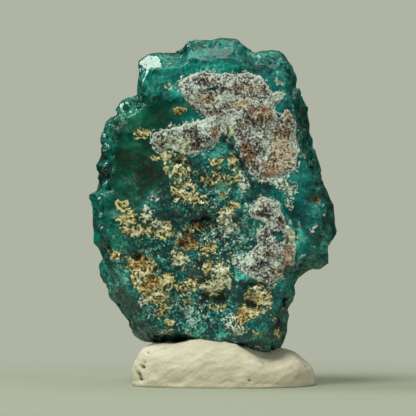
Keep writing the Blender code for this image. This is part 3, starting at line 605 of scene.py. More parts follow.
    shader = addNode(tree, "ShaderNodeBsdfPrincipled", {
        "Base Color": colour, "Roughness": roughness, "IOR": look["ior"],
        "Transmission Weight": clear, "Normal": bump.outputs[0]})
    absorbing = addNode(tree, "ShaderNodeVolumeAbsorption", {
        "Color": linearColour(look["absorption"]), "Density": look["absorptionPerMetre"]})
    addNode(tree, "ShaderNodeOutputMaterial", {
        "Surface": shader.outputs[0], "Volume": absorbing.outputs[0]})
    return made


plate = {
    "middle": (-1.3, 24.7),  # X and Z of the outline's middle
    "weld": 0.002,
    "bedFloorY": -4.1,
    "frontEdge": 0.25,  # longest mesh edge on the broken face, on the rim and on the far side
    "rimEdge": 0.36,
    "backEdge": 0.9,
    "frontTo": -3.6,  # the Y where the rim's mesh starts, and where the far side's does
    "rimTo": 2.0,
    "relaxed": (-3.4, -0.6, 5),  # highest Y, and Y of the normal, of what is relaxed, and how often
    "sharpAngle": 30,
    # where each part of the plate starts and where it is in full: by the Y of the normal, by Y in
    # mm, or by the share of the way from the middle to the outline
    "front": ((0.05, -0.35), (1.5, -1.0)),
    "edge": ((0.7, 0.1), (2.5, 0.0)),
    "brokenWithin": (0.93, 0.84),
    "chipped": ((0.78, 0.92), (3.5, 0.5)),
    "scooped": ((0.84, 0.93), (3.0, 0.5)),
    "splintered": ((0.84, 0.93), (2.2, 0.8)),
    "farEmerald": 0.7,  # how green the far side's crystals are
    "fringe": (0.58, 0.35),  # strength and width of the lace round the scabs
    # patterns of noise: reach or height, size of the lumps, octaves
    "mapWander": (0.5, 1.3, 4),
    "seamWander": (0.16, 0.8, 3),
    "crustRise": (0.12, 0.55, 3),
    "grainRise": (0.2, 0.9, 5),
    "swellRise": (0.14, 3.4, 2),
    "crustLevel": 0.6,  # how thick the crust is between its lumps, as a share of their height
    "evenGrain": 0.15,  # how much grain the glassy areas have
    "scoopLevel": 0.6,  # how far up a scoop's side the solid's surface lies
    "scoops": (0.6, 3.1),  # depth and size
    "smallScoops": (0.16, 1.0),  # depth as a share of the larger ones, and size
    "splinters": (0.5, 2.5),  # how far their faces tilt, and size
    "hollowShare": 0.7,  # how much of the hollows' depth is in the mesh
    # flat chips off the edge: where, the way the cut faces, its reach, and how deep it goes, or
    # None where the cut passes through the given point
    "chips": [
        ((-13.4, 0.2, 36.0), (-0.50, -0.62, 0.60), 0.9, 0.4),
        ((-2.0, -1.6, 43.6), (-0.02, -0.62, 0.78), 3.6, 1.77),
        ((-15.6, -2.2, 29.0), (-0.75, -0.62, 0.22), 3.0, 0.92),
        ((-16.4, -2.0, 24.6), (-0.62, -0.60, 0.50), 1.6, 0.94),
        ((8.3, -2.4, 41.6), (0.30, -0.62, 0.72), 2.4, 0.53),
        ((13.0, -2.4, 18.6), (0.50, -0.80, 0.20), 1.8, 0.6),
        ((-15.4, -2.4, 15.6), (-0.70, -0.70, -0.10), 2.4, 0.91),
        ((-13.0, -2.6, 10.4), (-0.66, -0.66, -0.35), 2.6, 0.79),
        ((-11.1, -0.8, 40.2), (-1.0, -0.15, 0.05), 2.4, 0.35),
        ((-10.3, -0.8, 42.7), (-0.62, -0.10, 0.78), 1.6, 0.3),
        ((-7.6, -0.8, 43.2), (-0.05, -0.20, 0.98), 1.8, 0.25),
        ((-16.0, -0.8, 28.0), (-0.95, -0.30, 0.05), 2.3, 0.35),
        ((-17.3, -0.8, 22.2), (-0.97, -0.20, -0.10), 2.4, 0.3),
        ((-15.8, -0.8, 33.4), (-0.90, -0.30, 0.30), 2.0, 0.35),
        ((-15.9, -0.8, 17.0), (-0.97, -0.20, -0.15), 2.0, 0.35),
        ((5.2, -0.8, 43.2), (0.10, -0.20, 0.97), 1.9, 0.25),
        ((8.2, -0.8, 42.2), (0.70, -0.20, 0.68), 1.5, 0.3),
        ((-4.2, -0.8, 44.0), (-0.45, -0.20, 0.87), 1.6, 0.3),
        ((0.8, -0.8, 45.0), (0.05, -0.20, 0.97), 2.2, 0.2),
        ((11.0, -0.8, 34.0), (0.93, -0.20, 0.25), 2.6, 0.35),
        ((12.6, -0.8, 28.4), (0.92, -0.20, 0.30), 2.4, 0.35),
        ((14.5, -0.8, 22.0), (0.98, -0.20, 0.10), 2.2, 0.35),
        ((13.6, -0.8, 17.2), (0.80, -0.20, -0.55), 1.6, 0.3),
        ((8.8, -0.8, 9.4), (0.97, -0.20, 0.05), 2.2, 0.3),
        ((7.6, -2.0, 5.6), (0.90, -0.10, -0.43), 2.6, 0.5),
        ((-9.58, -1.36, 41.27), (-0.50, -0.62, 0.60), 3.0, None),
    ],
    "chipFade": 1.25,  # a cut fades out up to this share of its reach
    "splintery": (0.12, 0.4),  # how rough a cut is that passes through its point, and the others
    # the lowest corner, drawn down to a point: X, Z, half width, height of the pull
    "lowCorner": (6.8, 4.8, 1.3, 1.2),
    "cornerFade": (3.0, (2.5, 0.5)),  # how far above Z the pull starts, and its Y from none to full
}


def closeBeds(bm):
    # takes out the two beds under the scabs and spans their openings with the face around them
    floorY = plate["bedFloorY"] * mm
    nearly = 0.02 * mm
    facesFront, facesSide, rounds = -0.9, 0.03, 60
    bed = {f for f in bm.faces
           if f.normal.y < facesFront and all(abs(v.co.y - floorY) < nearly for v in f.verts)}
    front = list(bed)
    while front:
        for edge in front.pop().edges:
            for other in edge.link_faces:
                wall = abs(other.normal.y) < facesSide
                wall = wall and all(v.co.y < floorY + nearly for v in other.verts)
                if wall and other not in bed:
                    bed.add(other)
                    front.append(other)
    bmesh.ops.delete(bm, geom=list(bed), context="FACES")
    rims = [e for e in bm.edges if e.is_boundary]
    rimVerts = {v for e in rims for v in e.verts}
    patch = set(bmesh.ops.holes_fill(bm, edges=rims)["faces"])
    ends = [v.co / mm for v in rimVerts]
    for axis, along in ((0, (1, 0, 0)), (2, (0, 0, 1))):  # cuts at every millimetre
        low, high = min(p[axis] for p in ends), max(p[axis] for p in ends)
        for step in range(1, int(high - low) + 1):
            point = [low + step if a == axis else 0 for a in range(3)]
            edges, verts = {e for f in patch for e in f.edges}, {v for f in patch for v in f.verts}
            cut = bmesh.ops.bisect_plane(bm, geom=[*patch, *edges, *verts],
                                         plane_co=Vector(point) * mm, plane_no=along)
            patch = {item for item in cut["geom"] if isinstance(item, bmesh.types.BMFace)}
    verts = {v for f in patch for v in f.verts}
    inner = [v for v in verts if all(f in patch for f in v.link_faces)]
    for _ in range(rounds):
        bmesh.ops.smooth_vert(bm, verts=inner, factor=0.5, use_axis_y=True)


def rimShares(points):
    # distance from the plate's middle as a share of the outline's, by direction
    across, up = points[:, 0] - plate["middle"][0], points[:, 2] - plate["middle"][1]
    radius, angle = np.hypot(across, up), np.arctan2(up, across)
    bins = 180
    slot = ((angle + math.pi) / math.tau * bins).astype(int) % bins
    furthest = np.zeros(bins)
    np.maximum.at(furthest, slot, radius)
    furthest = np.maximum(furthest, (np.roll(furthest, 1) + np.roll(furthest, -1)) / 2)
    return radius / furthest[slot]


def buildCrystals():
    bm = bmesh.new()
    bm.from_mesh(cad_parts["dioptase_crystals"].data)
    bmesh.ops.remove_doubles(bm, verts=bm.verts, dist=plate["weld"] * mm)
    closeBeds(bm)
    bmesh.ops.triangulate(bm, faces=bm.faces)

    def longestAt(point):
        if point.y < plate["frontTo"]:
            return plate["frontEdge"]
        return plate["rimEdge"] if point.y < plate["rimTo"] else plate["backEdge"]

    refine(bm, longestAt)
    print("crystals:", len(bm.faces), "triangles")
    bmesh.ops.recalc_face_normals(bm, faces=bm.faces)
    highestY, facing, rounds = plate["relaxed"]
    broken = [v for v in bm.verts if v.co.y < highestY * mm and v.normal.y < facing]
    for _ in range(rounds):
        bmesh.ops.smooth_vert(bm, verts=broken, factor=0.5,
                              use_axis_x=True, use_axis_y=True, use_axis_z=True)

    piece = pieceFrom("dioptaseSpecimen", bm, crystalMaterial(), "dioptase_crystals",
                      plate["sharpAngle"])
    mesh = piece.data
    points, normals = meshPoints(mesh), meshNormals(mesh)
    shares = rimShares(points)

    def partOf(name, values):
        # how much of each point belongs to a part of the plate
        limits, depths = plate[name]
        return smoothStep(*limits, values) * smoothStep(*depths, points[:, 1])

    frontShare, edgeShare = partOf("front", normals[:, 1]), partOf("edge", normals[:, 1])

    # the map is drawn through a wavering eye, so that no spot keeps a smooth round edge
    across = points[:, 0] + layered(points, plate["mapWander"], "mapAcross")
    up = points[:, 2] + layered(points, plate["mapWander"], "mapUp")
    fields = {name: spotField(across, up, spots) for name, spots in deposits.items()}
    pitted = sum(deep * np.exp(-(((across - x) / wide) ** 2 + ((up - z) / high) ** 2) ** 1.5)
                 for x, z, wide, high, deep in hollows)
    wandering = points[:, 0] + layered(points, plate["seamWander"], "seams")
    for name, lines in seams.items():
        gaps = [lineDistance(wandering, points[:, 2], line) / width for line, width in lines]
        fields[name] = np.exp(-np.min(gaps, axis=0) ** 2)
    for name in fields:
        fields[name] = fields[name] * (edgeShare if name in ("glow", "frost") else frontShare)
    fields["broken"] = smoothStep(*plate["brokenWithin"], shares) * frontShare
    fields["chipped"] = partOf("chipped", shares)
    fields["emerald"] = np.maximum(fields["emerald"], plate["farEmerald"] * (1 - frontShare))
    fields["hollow"] = np.clip(pitted, 0, 1) * frontShare
    distances = [inwardDistance(across, up, shape["outline"]) for shape in scabs.values()]
    strength, width = plate["fringe"]
    fields["fringe"] = strength * np.exp(-(np.max(distances, axis=0) / width) ** 2) * frontShare

    lumpy = plate["crustRise"][0] * plate["crustLevel"]
    lumpy += layered(points, plate["crustRise"], "crustLumps")
    rise = lumpy * np.maximum(fields["crust"], fields["cream"])
    grainy = plate["evenGrain"] + fields["mottle"]
    rise += grainy * layered(points, plate["grainRise"], "grain")
    rise += frontShare * layered(points, plate["swellRise"], "swells")
    rise -= plate["hollowShare"] * pitted * frontShare
    (scoopDepth, scoopSize), (smallShare, smallSize) = plate["scoops"], plate["smallScoops"]
    dishes = dishesOver(points, scoopSize, seeds["scoops"])
    dishes += smallShare * dishesOver(points, smallSize, seeds["smallScoops"])
    rise += partOf("scooped", shares) * scoopDepth * (dishes - plate["scoopLevel"])
    tilt, splinterSize = plate["splinters"]
    splinters = splintersOver(points, splinterSize, seeds["splinters"])
    rise += partOf("splintered", shares) * tilt * splinters
    points += normals * rise[:, None]

    cornerX, cornerZ, wide, pull = plate["lowCorner"]
    above, depths = plate["cornerFade"]
    low = np.exp(-((points[:, 0] - cornerX) / wide) ** 2)
    low *= smoothStep(cornerZ + above, cornerZ, points[:, 2]) * smoothStep(*depths, points[:, 1])
    points[:, 2] -= pull * low
    mirror, splintery = plate["splintery"]
    for spot, facing, reach, deepest in plate["chips"]:
        facing = np.array(facing) / np.linalg.norm(facing)
        distance = np.linalg.norm(points - spot, axis=1)
        over = (points - spot) @ facing
        if deepest:
            over -= over[distance < reach].max() - deepest
        cut = np.maximum(0, over) * smoothStep(plate["chipFade"] * reach, reach, distance)
        points -= cut[:, None] * facing
        fields["chipped"][(cut > 0) & (distance < reach)] = splintery if deepest else mirror
    setPoints(mesh, points)
    for name, values in fields.items():
        setField(mesh, name, values)
    mesh.set_sharp_from_angle(angle=math.radians(plate["sharpAngle"]))
    return piece


# Host rock: fine sugary lime and quartz, dull, with violet-grey grains and iron stains.
# It has a whiter edge where it weathered away from the crystals.
rockFinish = {
    "roughness": 0.82,
    "ior": 1.5,
    "bump": (0.7, 0.07),  # strength, and depth in mm
    # noise patterns: size in mm, detail, roughness, distortion, and which stretch of the noise
    "patterns": {
        "grains": (0.3, 3, 0.75, 0.2, 6.0),
        "clusters": (1.2, 4, 0.6, 0.5, 7.0),
        "specks": (0.22, 2, 0.6, 0.0, 8.0),
    },
    "sugarSize": 0.19,
    # for each stain: the value where it starts and where it is full, and its share at both
    "ranges": {
        "warm": (0.62, 1.25, 0.0, 1.0),
        "olive": (0.35, 0.5, 0.2, 0.95),
        "salmon": (1.75, 2.2, 0.0, 0.7),
        "red": (0.94, 1.06, 0.0, 1.0),
        "mint": (1.2, 1.7, 0.0, 0.8),
        "edge": (1.2, 1.0, 0.0, 0.8),
        "crack": (1.0, 1.3, 0.0, 0.85),
    },
    # from the dark grains to the light ones, by how far the grain noise goes
    "sugary": [
        (0.34, "#282126"), (0.42, "#50464c"), (0.48, "#797073"), (0.53, "#959a91"),
        (0.58, "#b3c3b6"), (0.65, "#e2ebe1"),
    ],
    "warm": [
        (0.34, "#33251f"), (0.42, "#67503f"), (0.49, "#937a61"), (0.56, "#bba88c"), (0.65, "#ddd7c2"),
    ],
    "red": "#7a3220",
    "salmon": [(0.36, "#7d4936"), (0.46, "#b57a5e"), (0.54, "#d0a288"), (0.63, "#e6d3c2")],
    "mint": [(0.36, "#8fa297"), (0.46, "#b3c3b6"), (0.54, "#cad7ca"), (0.63, "#e6eee4")],
    "olive": [(0.36, "#5a5a2a"), (0.46, "#a2a45f"), (0.54, "#c5ca92"), (0.63, "#e1e7c8")],
    "crack": "#2a2a1e",
    "edge": "#cfdbd0",
}

scabs = {
    "matrix_scab_upper": {
        "outline": [
            (-5.9, 38.6), (-5.2, 39.8), (-3.9, 40.3), (-2.2, 40.6), (-0.4, 40.2), (1.4, 40.3),
            (3.2, 40.4), (4.8, 39.8), (6.0, 38.7), (6.3, 37.6), (7.6, 38.0), (8.0, 37.0),
            (6.8, 36.4), (6.5, 35.4), (7.3, 34.8), (8.3, 35.6), (9.2, 34.9), (9.5, 33.2),
            (9.8, 31.4), (9.7, 29.4), (9.3, 27.8), (8.2, 27.4), (7.0, 26.7), (5.6, 26.3),
            (4.2, 26.5), (3.2, 27.6), (2.4, 29.4), (1.2, 31.4), (0.0, 32.6), (-1.2, 31.0),
            (-3.0, 30.0), (-5.2, 29.6), (-6.6, 30.6), (-8.0, 30.1), (-9.2, 31.3), (-9.0, 32.8),
            (-7.0, 33.2), (-4.2, 33.9), (-2.2, 34.6), (-3.4, 35.8), (-4.6, 36.9),
        ],
        "grain": [
            (-8.0, 31.9, 0.9, 1.0, 1.0), (-4.4, 32.4, 1.0, 0.9, 1.0), (-2.7, 31.2, 1.3, 1.0, 1.0),
            (-4.1, 34.2, 0.6, 0.4, 0.8), (-0.9, 32.5, 0.7, 1.0, 0.8), (-4.9, 39.1, 1.0, 0.8, 0.9),
            (-2.3, 39.5, 1.3, 0.7, 1.0), (-2.1, 37.0, 1.4, 0.8, 0.85), (2.2, 38.6, 2.8, 1.0, 0.8),
            (4.9, 37.8, 1.3, 1.3, 1.0), (0.0, 35.6, 0.9, 0.6, 0.8), (2.4, 35.4, 1.4, 1.2, 0.6),
            (4.9, 33.6, 1.7, 1.0, 1.0), (7.3, 33.2, 1.5, 1.0, 1.0), (3.3, 30.6, 1.5, 1.7, 1.0),
            (3.2, 29.2, 1.0, 1.3, 1.0), (4.0, 27.9, 0.9, 0.9, 0.8), (2.0, 33.0, 1.2, 0.9, 0.7),
            (5.6, 35.4, 1.2, 1.2, 0.6), (5.4, 29.6, 1.1, 1.1, 0.6),
        ],
        "mint": [
            (-2.9, 34.3, 1.5, 0.9, 0.9), (0.6, 37.2, 1.7, 0.8, 0.8), (-6.2, 31.2, 1.2, 0.6, 0.8),
            (-5.8, 32.8, 1.0, 0.4, 0.8), (7.1, 35.0, 0.7, 0.6, 0.8), (8.9, 31.4, 0.5, 1.4, 0.8),
            (5.4, 31.1, 0.35, 0.9, 0.9), (4.7, 29.4, 0.3, 0.8, 0.9), (0.9, 34.5, 1.6, 0.5, 0.6),
            (-3.4, 38.2, 0.6, 0.5, 0.6), (-0.4, 30.9, 0.7, 0.3, 1.0), (0.2, 32.4, 0.25, 1.1, 0.9),
            (-1.6, 33.5, 0.5, 0.6, 0.6), (7.0, 37.2, 0.8, 0.6, 0.7), (8.6, 28.4, 0.8, 0.6, 0.6),
        ],
        "tan": [
            (7.9, 31.0, 1.6, 2.2, 1.0), (8.5, 34.8, 0.8, 0.8, 0.8), (2.1, 36.3, 1.2, 0.7, 0.8),
            (-2.1, 37.0, 1.4, 0.7, 0.7), (5.3, 35.0, 1.2, 1.2, 0.8), (-0.9, 32.5, 0.7, 1.0, 0.9),
            (3.6, 38.4, 2.6, 0.6, 0.6), (6.4, 28.2, 1.6, 1.0, 0.8), (3.2, 29.8, 1.2, 1.8, 0.6),
            (-1.4, 35.2, 0.8, 0.5, 0.5),
        ],
        "red": [
            (3.7, 35.4, 0.5, 0.8, 0.9), (5.3, 35.6, 0.35, 0.4, 1.0), (3.0, 34.2, 0.7, 0.6, 0.8),
            (3.2, 30.2, 1.0, 1.2, 0.6), (4.9, 28.9, 0.35, 0.6, 1.0), (2.8, 29.0, 0.6, 0.8, 0.6),
            (6.2, 27.5, 1.2, 0.35, 0.6), (2.5, 33.6, 0.6, 0.5, 0.7),
        ],
        "salmon": [
            (5.4, 27.2, 1.0, 0.4, 1.0), (6.9, 27.9, 1.3, 0.5, 1.0), (7.9, 28.7, 0.9, 0.7, 0.9),
            (-1.1, 37.3, 0.7, 0.5, 0.6), (4.0, 35.6, 0.8, 0.7, 0.6), (7.4, 30.0, 1.0, 1.0, 0.6),
        ],
        "olive": [
            (-5.9, 31.0, 2.0, 0.9, 1.0), (0.9, 32.6, 0.5, 1.0, 0.8), (-7.0, 30.9, 0.8, 0.6, 0.7),
        ],
        "crack": [  # dark lines in the rock
            (0.6, 32.7, 0.2, 0.9, 1.0), (1.5, 31.3, 0.25, 0.8, 1.0), (-2.1, 35.9, 0.7, 0.14, 0.9),
            (-1.4, 35.2, 0.15, 0.5, 0.9), (2.6, 28.8, 0.25, 1.1, 1.0), (-0.4, 33.6, 0.14, 0.6, 0.8),
            (-2.5, 37.9, 0.7, 0.12, 0.6),
        ],
        "gap": [  # where the crystal shows through: its place and half sizes
            (-1.4, 38.2, 0.6, 0.24, 1.0), (1.1, 31.3, 0.28, 0.8, 1.0), (1.8, 30.0, 0.3, 0.8, 1.0),
        ],
    },
    "matrix_scab_lower": {
        "outline": [
            (4.4, 24.2), (5.2, 24.6), (6.2, 24.2), (7.2, 23.4), (7.9, 21.9), (8.9, 20.4),
            (9.4, 19.2), (9.4, 17.6), (9.3, 15.8), (9.4, 14.4), (8.4, 13.8), (7.2, 13.7),
            (6.0, 12.9), (5.0, 13.4), (3.7, 13.9), (2.4, 14.9), (2.2, 16.0), (3.3, 17.0),
            (4.3, 18.4), (4.4, 20.0), (5.5, 20.9), (4.8, 21.4), (3.4, 21.8), (3.4, 22.8),
        ],
        "grain": [
            (5.1, 22.4, 1.3, 0.6, 1.0), (7.4, 21.4, 0.6, 0.8, 1.0), (6.1, 20.7, 0.7, 0.6, 0.8),
            (5.4, 18.8, 1.0, 1.0, 0.7), (4.4, 17.6, 0.7, 0.7, 0.8), (6.2, 17.2, 1.0, 1.0, 0.6),
            (5.7, 14.4, 1.0, 0.9, 1.0), (3.6, 15.3, 0.6, 0.5, 0.9), (8.1, 15.2, 0.6, 0.5, 0.9),
            (4.9, 15.9, 1.2, 0.8, 0.6),
        ],
        "mint": [
            (3.5, 16.3, 0.8, 0.8, 0.9), (7.1, 22.5, 0.5, 0.6, 0.9), (5.6, 24.0, 1.0, 0.5, 0.7),
            (8.6, 20.3, 0.7, 0.5, 0.7), (9.0, 15.0, 0.5, 0.9, 0.6), (4.6, 21.6, 0.9, 0.25, 0.8),
            (5.0, 14.9, 0.8, 0.5, 0.6), (5.0, 17.8, 0.5, 0.8, 0.6), (6.7, 15.6, 0.6, 0.6, 0.6),
            (4.4, 23.0, 0.8, 0.3, 0.9), (6.5, 20.9, 0.6, 0.4, 0.6),
        ],
        "tan": [
            (8.7, 16.4, 0.8, 1.8, 1.0), (5.2, 24.0, 0.9, 0.5, 0.7), (8.0, 21.6, 0.4, 0.9, 1.0),
            (6.8, 14.6, 0.6, 0.9, 0.9), (9.1, 19.3, 0.5, 0.6, 0.9), (6.0, 17.0, 0.6, 0.5, 0.8),
        ],
        "red": [(7.9, 17.3, 0.18, 0.9, 0.9), (6.6, 16.6, 0.5, 0.4, 0.5), (7.6, 20.9, 0.3, 0.5, 0.5)],
        "salmon": [(8.0, 17.0, 0.45, 1.1, 1.0), (8.7, 15.6, 0.6, 1.0, 0.7)],
        "olive": [(9.0, 19.3, 0.5, 0.6, 0.9), (3.3, 16.6, 0.6, 0.6, 0.4)],
        "crack": [
            (8.2, 18.9, 0.25, 0.8, 1.0), (6.0, 16.9, 0.5, 0.3, 0.9), (7.4, 21.4, 0.4, 0.5, 0.8),
            (6.9, 18.7, 0.2, 0.6, 0.6),
        ],
        "gap": [(7.1, 19.6, 0.75, 0.4, 1.0), (7.2, 19.1, 0.4, 0.5, 1.0)],
    },
}

scabForm = {
    "meshEdge": 0.13,
    "reach": 0.75,  # how far the mesh goes past the outline, under the crystal's surface
    "rimRise": 0.14,
    "bodyRise": 0.3,
    "sink": 0.2,
    # the distances inwards between which the rim, the body and the lumps rise
    "rimSlope": (-0.1, 0.2),
    "bodySlope": (0.3, 1.6),
    "lumpSlope": (0.0, 0.4),
    "outerFall": 1.2,  # how steeply it falls outside the outline
    # patterns of noise: reach or height, size of the lumps, octaves
    "ragged": (0.26, 1.1, 4),
    "fineRagged": (0.1, 0.45, 2),
    "lumps": (0.08, 0.6, 4),
    "swells": (0.1, 2.6, 2),
    "colourWander": (0.3, 1.2, 2),
    "gapWander": (0.25, 0.5, 4),
    "gapDepth": 0.55,
    "gapSlope": (0.25, 0.75),
    "outer": 0.8,  # how much of the reach has mesh
    "sharpAngle": 60,
    "backY": -4.4,
    "behind": 0.7,  # a surface this far behind backY is past the edge of the plate
    "thickness": 0.9,
    "rayFromY": -20.0,
}


def rockMaterial():
    look = rockFinish
    made, tree = newMaterial("sugaryHostRock")
    field, noiseOf, combine, between, blend, ramp, grainsOf = nodeTools(tree)
    grains, clusters, specks = [noiseOf(*pattern) for pattern in look["patterns"].values()]

    def shown(stain, value):
        return between(value, *look["ranges"][stain])

    def frayed(name, first, second, share):
        # a stain's field, worn at its edges by two patterns
        part = combine("MULTIPLY_ADD", first, share, field(name))
        return combine("MULTIPLY_ADD", second, share, part)

    # crowded dark grains lower the tone, and the ragged edge and pale clusters raise it
    tone = combine("MULTIPLY_ADD", combine("SUBTRACT", clusters, 0.5), 0.6, grains)
    sugar = combine("SUBTRACT", grainsOf(look["sugarSize"]), 0.5)
    tone = combine("MULTIPLY_ADD", sugar, 0.24, tone)
    tone = combine("MULTIPLY_ADD", field("grain"), -0.07, combine("ADD", tone, 0.045))
    warmth = shown("warm", combine("MULTIPLY_ADD", specks, 1.1, field("tan")))
    body = blend(warmth, ramp(tone, look["sugary"]), ramp(tone, look["warm"]))
    olive = combine("MULTIPLY", field("olive"), shown("olive", clusters))
    body = blend(olive, body, ramp(tone, look["olive"]))
    salmon = shown("salmon", frayed("salmon", clusters, specks, 1.2))
    body = blend(salmon, body, ramp(tone, look["salmon"]))
    red = combine("MULTIPLY", field("red"), shown("red", combine("ADD", clusters, specks)))
    body = blend(red, body, look["red"])
    mint = shown("mint", frayed("mint", grains, clusters, 0.9))
    body = blend(mint, body, ramp(tone, look["mint"]))
    body = blend(shown("edge", frayed("inward", grains, clusters, 0.9)), body, look["edge"])
    crack = shown("crack", combine("ADD", grains, field("crack")))
    body = blend(crack, body, look["crack"])

    strength, depth = look["bump"]
    bump = addNode(tree, "ShaderNodeBump", {
        "Strength": strength, "Distance": depth * mm, "Height": grains})
    shader = addNode(tree, "ShaderNodeBsdfPrincipled", {
        "Base Color": body, "Roughness": look["roughness"], "IOR": look["ior"],
        "Normal": bump.outputs[0]})
    addNode(tree, "ShaderNodeOutputMaterial", {"Surface": shader.outputs[0]})
    return made


def raggedInside(points, outline):
    # distance inwards from an outline that coarse and fine noise has frayed
    flat = points * (1, 0, 1)
    frayed = sum(layered(flat, scabForm[name], name) for name in ("ragged", "fineRagged"))
    return inwardDistance(points[:, 0], points[:, 2], outline) + frayed


def buildScab(name, shape, ground, finish):
    form, outline = scabForm, shape["outline"]
    low = [min(p[a] for p in outline) - form["reach"] for a in (0, 1)]
    high = [max(p[a] for p in outline) + form["reach"] for a in (0, 1)]
    bm = bmesh.new()
    counts = [round((high[a] - low[a]) / form["meshEdge"]) for a in (0, 1)]
    bmesh.ops.create_grid(bm, x_segments=counts[0], y_segments=counts[1], size=0.5)
    middle = Vector(((low[0] + high[0]) / 2, 0, (low[1] + high[1]) / 2)) * mm
    stand = Matrix.Rotation(math.radians(90), 4, "X")
    size = Matrix.Diagonal(((high[0] - low[0]) * mm, 1, (high[1] - low[1]) * mm, 1))
    bmesh.ops.transform(bm, matrix=Matrix.Translation(middle) @ size @ stand, verts=bm.verts)
    bm.verts.ensure_lookup_table()
    flat = np.array([v.co for v in bm.verts]) / mm
    inside = inwardDistance(flat[:, 0], flat[:, 2], outline)
    furthest = -form["outer"] * form["reach"]
    outer = [v for v, depth in zip(bm.verts, inside) if depth < furthest]
    bmesh.ops.delete(bm, geom=outer, context="VERTS")

    # each point lies on the crystal's surface, raised inside the ragged outline, sunk outside it
    bm.verts.ensure_lookup_table()
    flat = np.array([v.co for v in bm.verts]) / mm
    inside = raggedInside(flat, outline)
    lumps = layered(flat, form["lumps"], "scabLumps")
    lumpy = lumps + layered(flat, form["swells"], "scabSwells")
    rise = -form["sink"] + (form["sink"] + form["rimRise"]) * smoothStep(*form["rimSlope"], inside)
    rise += (form["bodyRise"] - form["rimRise"]) * smoothStep(*form["bodySlope"], inside)
    rise += smoothStep(*form["lumpSlope"], inside) * lumpy
    rise += form["outerFall"] * np.minimum(0, inside)
    # the gaps' edges waver with the lumps across, and with noise of their own up and down
    across = flat[:, 0] + form["gapWander"][0] / form["lumps"][0] * lumps
    up = flat[:, 2] + layered(flat, form["gapWander"], "gapEdges")
    rise -= form["gapDepth"] * smoothStep(*form["gapSlope"], spotField(across, up, shape["gap"]))
    beyond = []  # past the edge of the plate
    backY, rayFromY, thickness = form["backY"] * mm, form["rayFromY"] * mm, form["thickness"] * mm
    for vertex, height in zip(bm.verts, rise):
        hit = ground.ray_cast(Vector((vertex.co.x, rayFromY, vertex.co.z)), Vector((0, 1, 0)))[0]
        missed = not hit or hit.y > backY + form["behind"] * mm
        if missed:
            beyond.append(vertex)
        vertex.co.y = (backY if missed else hit.y) - height * mm
    bmesh.ops.delete(bm, geom=beyond, context="VERTS")
    back = bmesh.ops.extrude_face_region(bm, geom=list(bm.faces))["geom"]
    for item in back:
        if isinstance(item, bmesh.types.BMVert):
            item.co.y = max(item.co.y, backY) + thickness
    bmesh.ops.recalc_face_normals(bm, faces=bm.faces)

    pieceName = {"matrix_scab_upper": "upperRockScab", "matrix_scab_lower": "lowerRockScab"}[name]
    piece = pieceFrom(pieceName, bm, finish, name, form["sharpAngle"])
    points = meshPoints(piece.data)
    across = points[:, 0] + layered(points, form["colourWander"], "rockAcross")
    up = points[:, 2] + layered(points, form["colourWander"], "rockUp")
    for field in ("grain", "mint", "tan", "salmon", "red", "olive", "crack"):
        setField(piece.data, field, spotField(across, up, shape[field]))
    setField(piece.data, "inward", raggedInside(points, outline))
    print(pieceName + ":", len(piece.data.polygons), "faces")


# Mounting putty: a soft cream wax and clay, pressed by hand, with pull marks and small pits.
# It is dull, with a faint waxy sheen.
puttyFinish = {
    "light": "#e0d8c6",
    "shade": "#cbc1a6",
    "pitBrown": "#6a5a40",
    "roughness": 0.62,
    "ior": 1.48,
    "subsurface": (0.12, 0.6),  # its weight, and how far light goes in mm
    # the marks of pulling: slope in degrees, how far they stretch along X, Y and Z, and size in mm
    "pulls": (-30, (3.2, 1.6, 0.6), 1.0),
    "fineSize": 0.45,
    "toneRange": (0.25, 0.62),
    "pitRange": (0.3, 0.9),
    "pullBump": (0.4, 0.25),  # strengths and depths in mm
    "fineBump": (0.9, 0.16),
}

puttyForm = {
    "halfWidth": 11.8,
    "rightShare": 0.97,  # the half towards +X against the other one
    "halfDepth": 8.4,
    "squareness": 2.5,
    "top": 5.5,
    "segments": (200, 110),
    "underside": -0.25,  # where the unit ball that it is drawn from is cut flat
    "fullness": (0.55, 1.02),  # how full the sides are above the ball's middle, and below it
    "flatTop": 0.62,
    # patterns of noise: height or share of the width, size of the lumps, octaves
    "outlineWander": (0.05, 1.0, 2),
    "pullRise": (0.12, 1.2, 4),
    "lumpRise": (0.24, 3.0, 5),
    "bends": 1.4,  # how often the outline wanders
    "pullSlope": 30,
    "pullStretch": (0.35, 0.5, 1.3),
    "pullsFrom": (6.0, -1.0),  # X where the marks start, and where they are in full
    "clearOfBase": (0.1, 0.8),
    "sharpAngle": 60,
    # where the top swells or sinks: (X, Y, half width, half depth, rise)
    "swells": [
        (-2.6, -6.0, 4.6, 3.4, 1.0), (7.8, 3.0, 2.6, 4.4, -0.4), (6.3, -5.0, 2.8, 3.6, -2.5),
        (11.8, -1.0, 2.2, 9.0, -1.6), (-3.0, 6.0, 5.0, 3.0, -0.6), (-9.6, -3.0, 2.6, 6.0, 0.7),
    ],
    # small holes: (X, Z, radius, depth), on the side towards -Y
    "pits": [
        (-10.4, 2.6, 0.28, 0.5), (-10.8, 1.7, 0.22, 0.4), (-10.1, 3.2, 0.15, 0.3),
        (-9.6, 4.4, 0.15, 0.25), (9.5, 1.1, 0.2, 0.5), (3.4, 1.0, 0.14, 0.3), (5.3, 3.2, 0.14, 0.2),
        (10.9, 2.7, 0.14, 0.2), (-10.6, 1.0, 0.3, 0.4), (-7.4, 5.0, 0.12, 0.2),
    ],
}


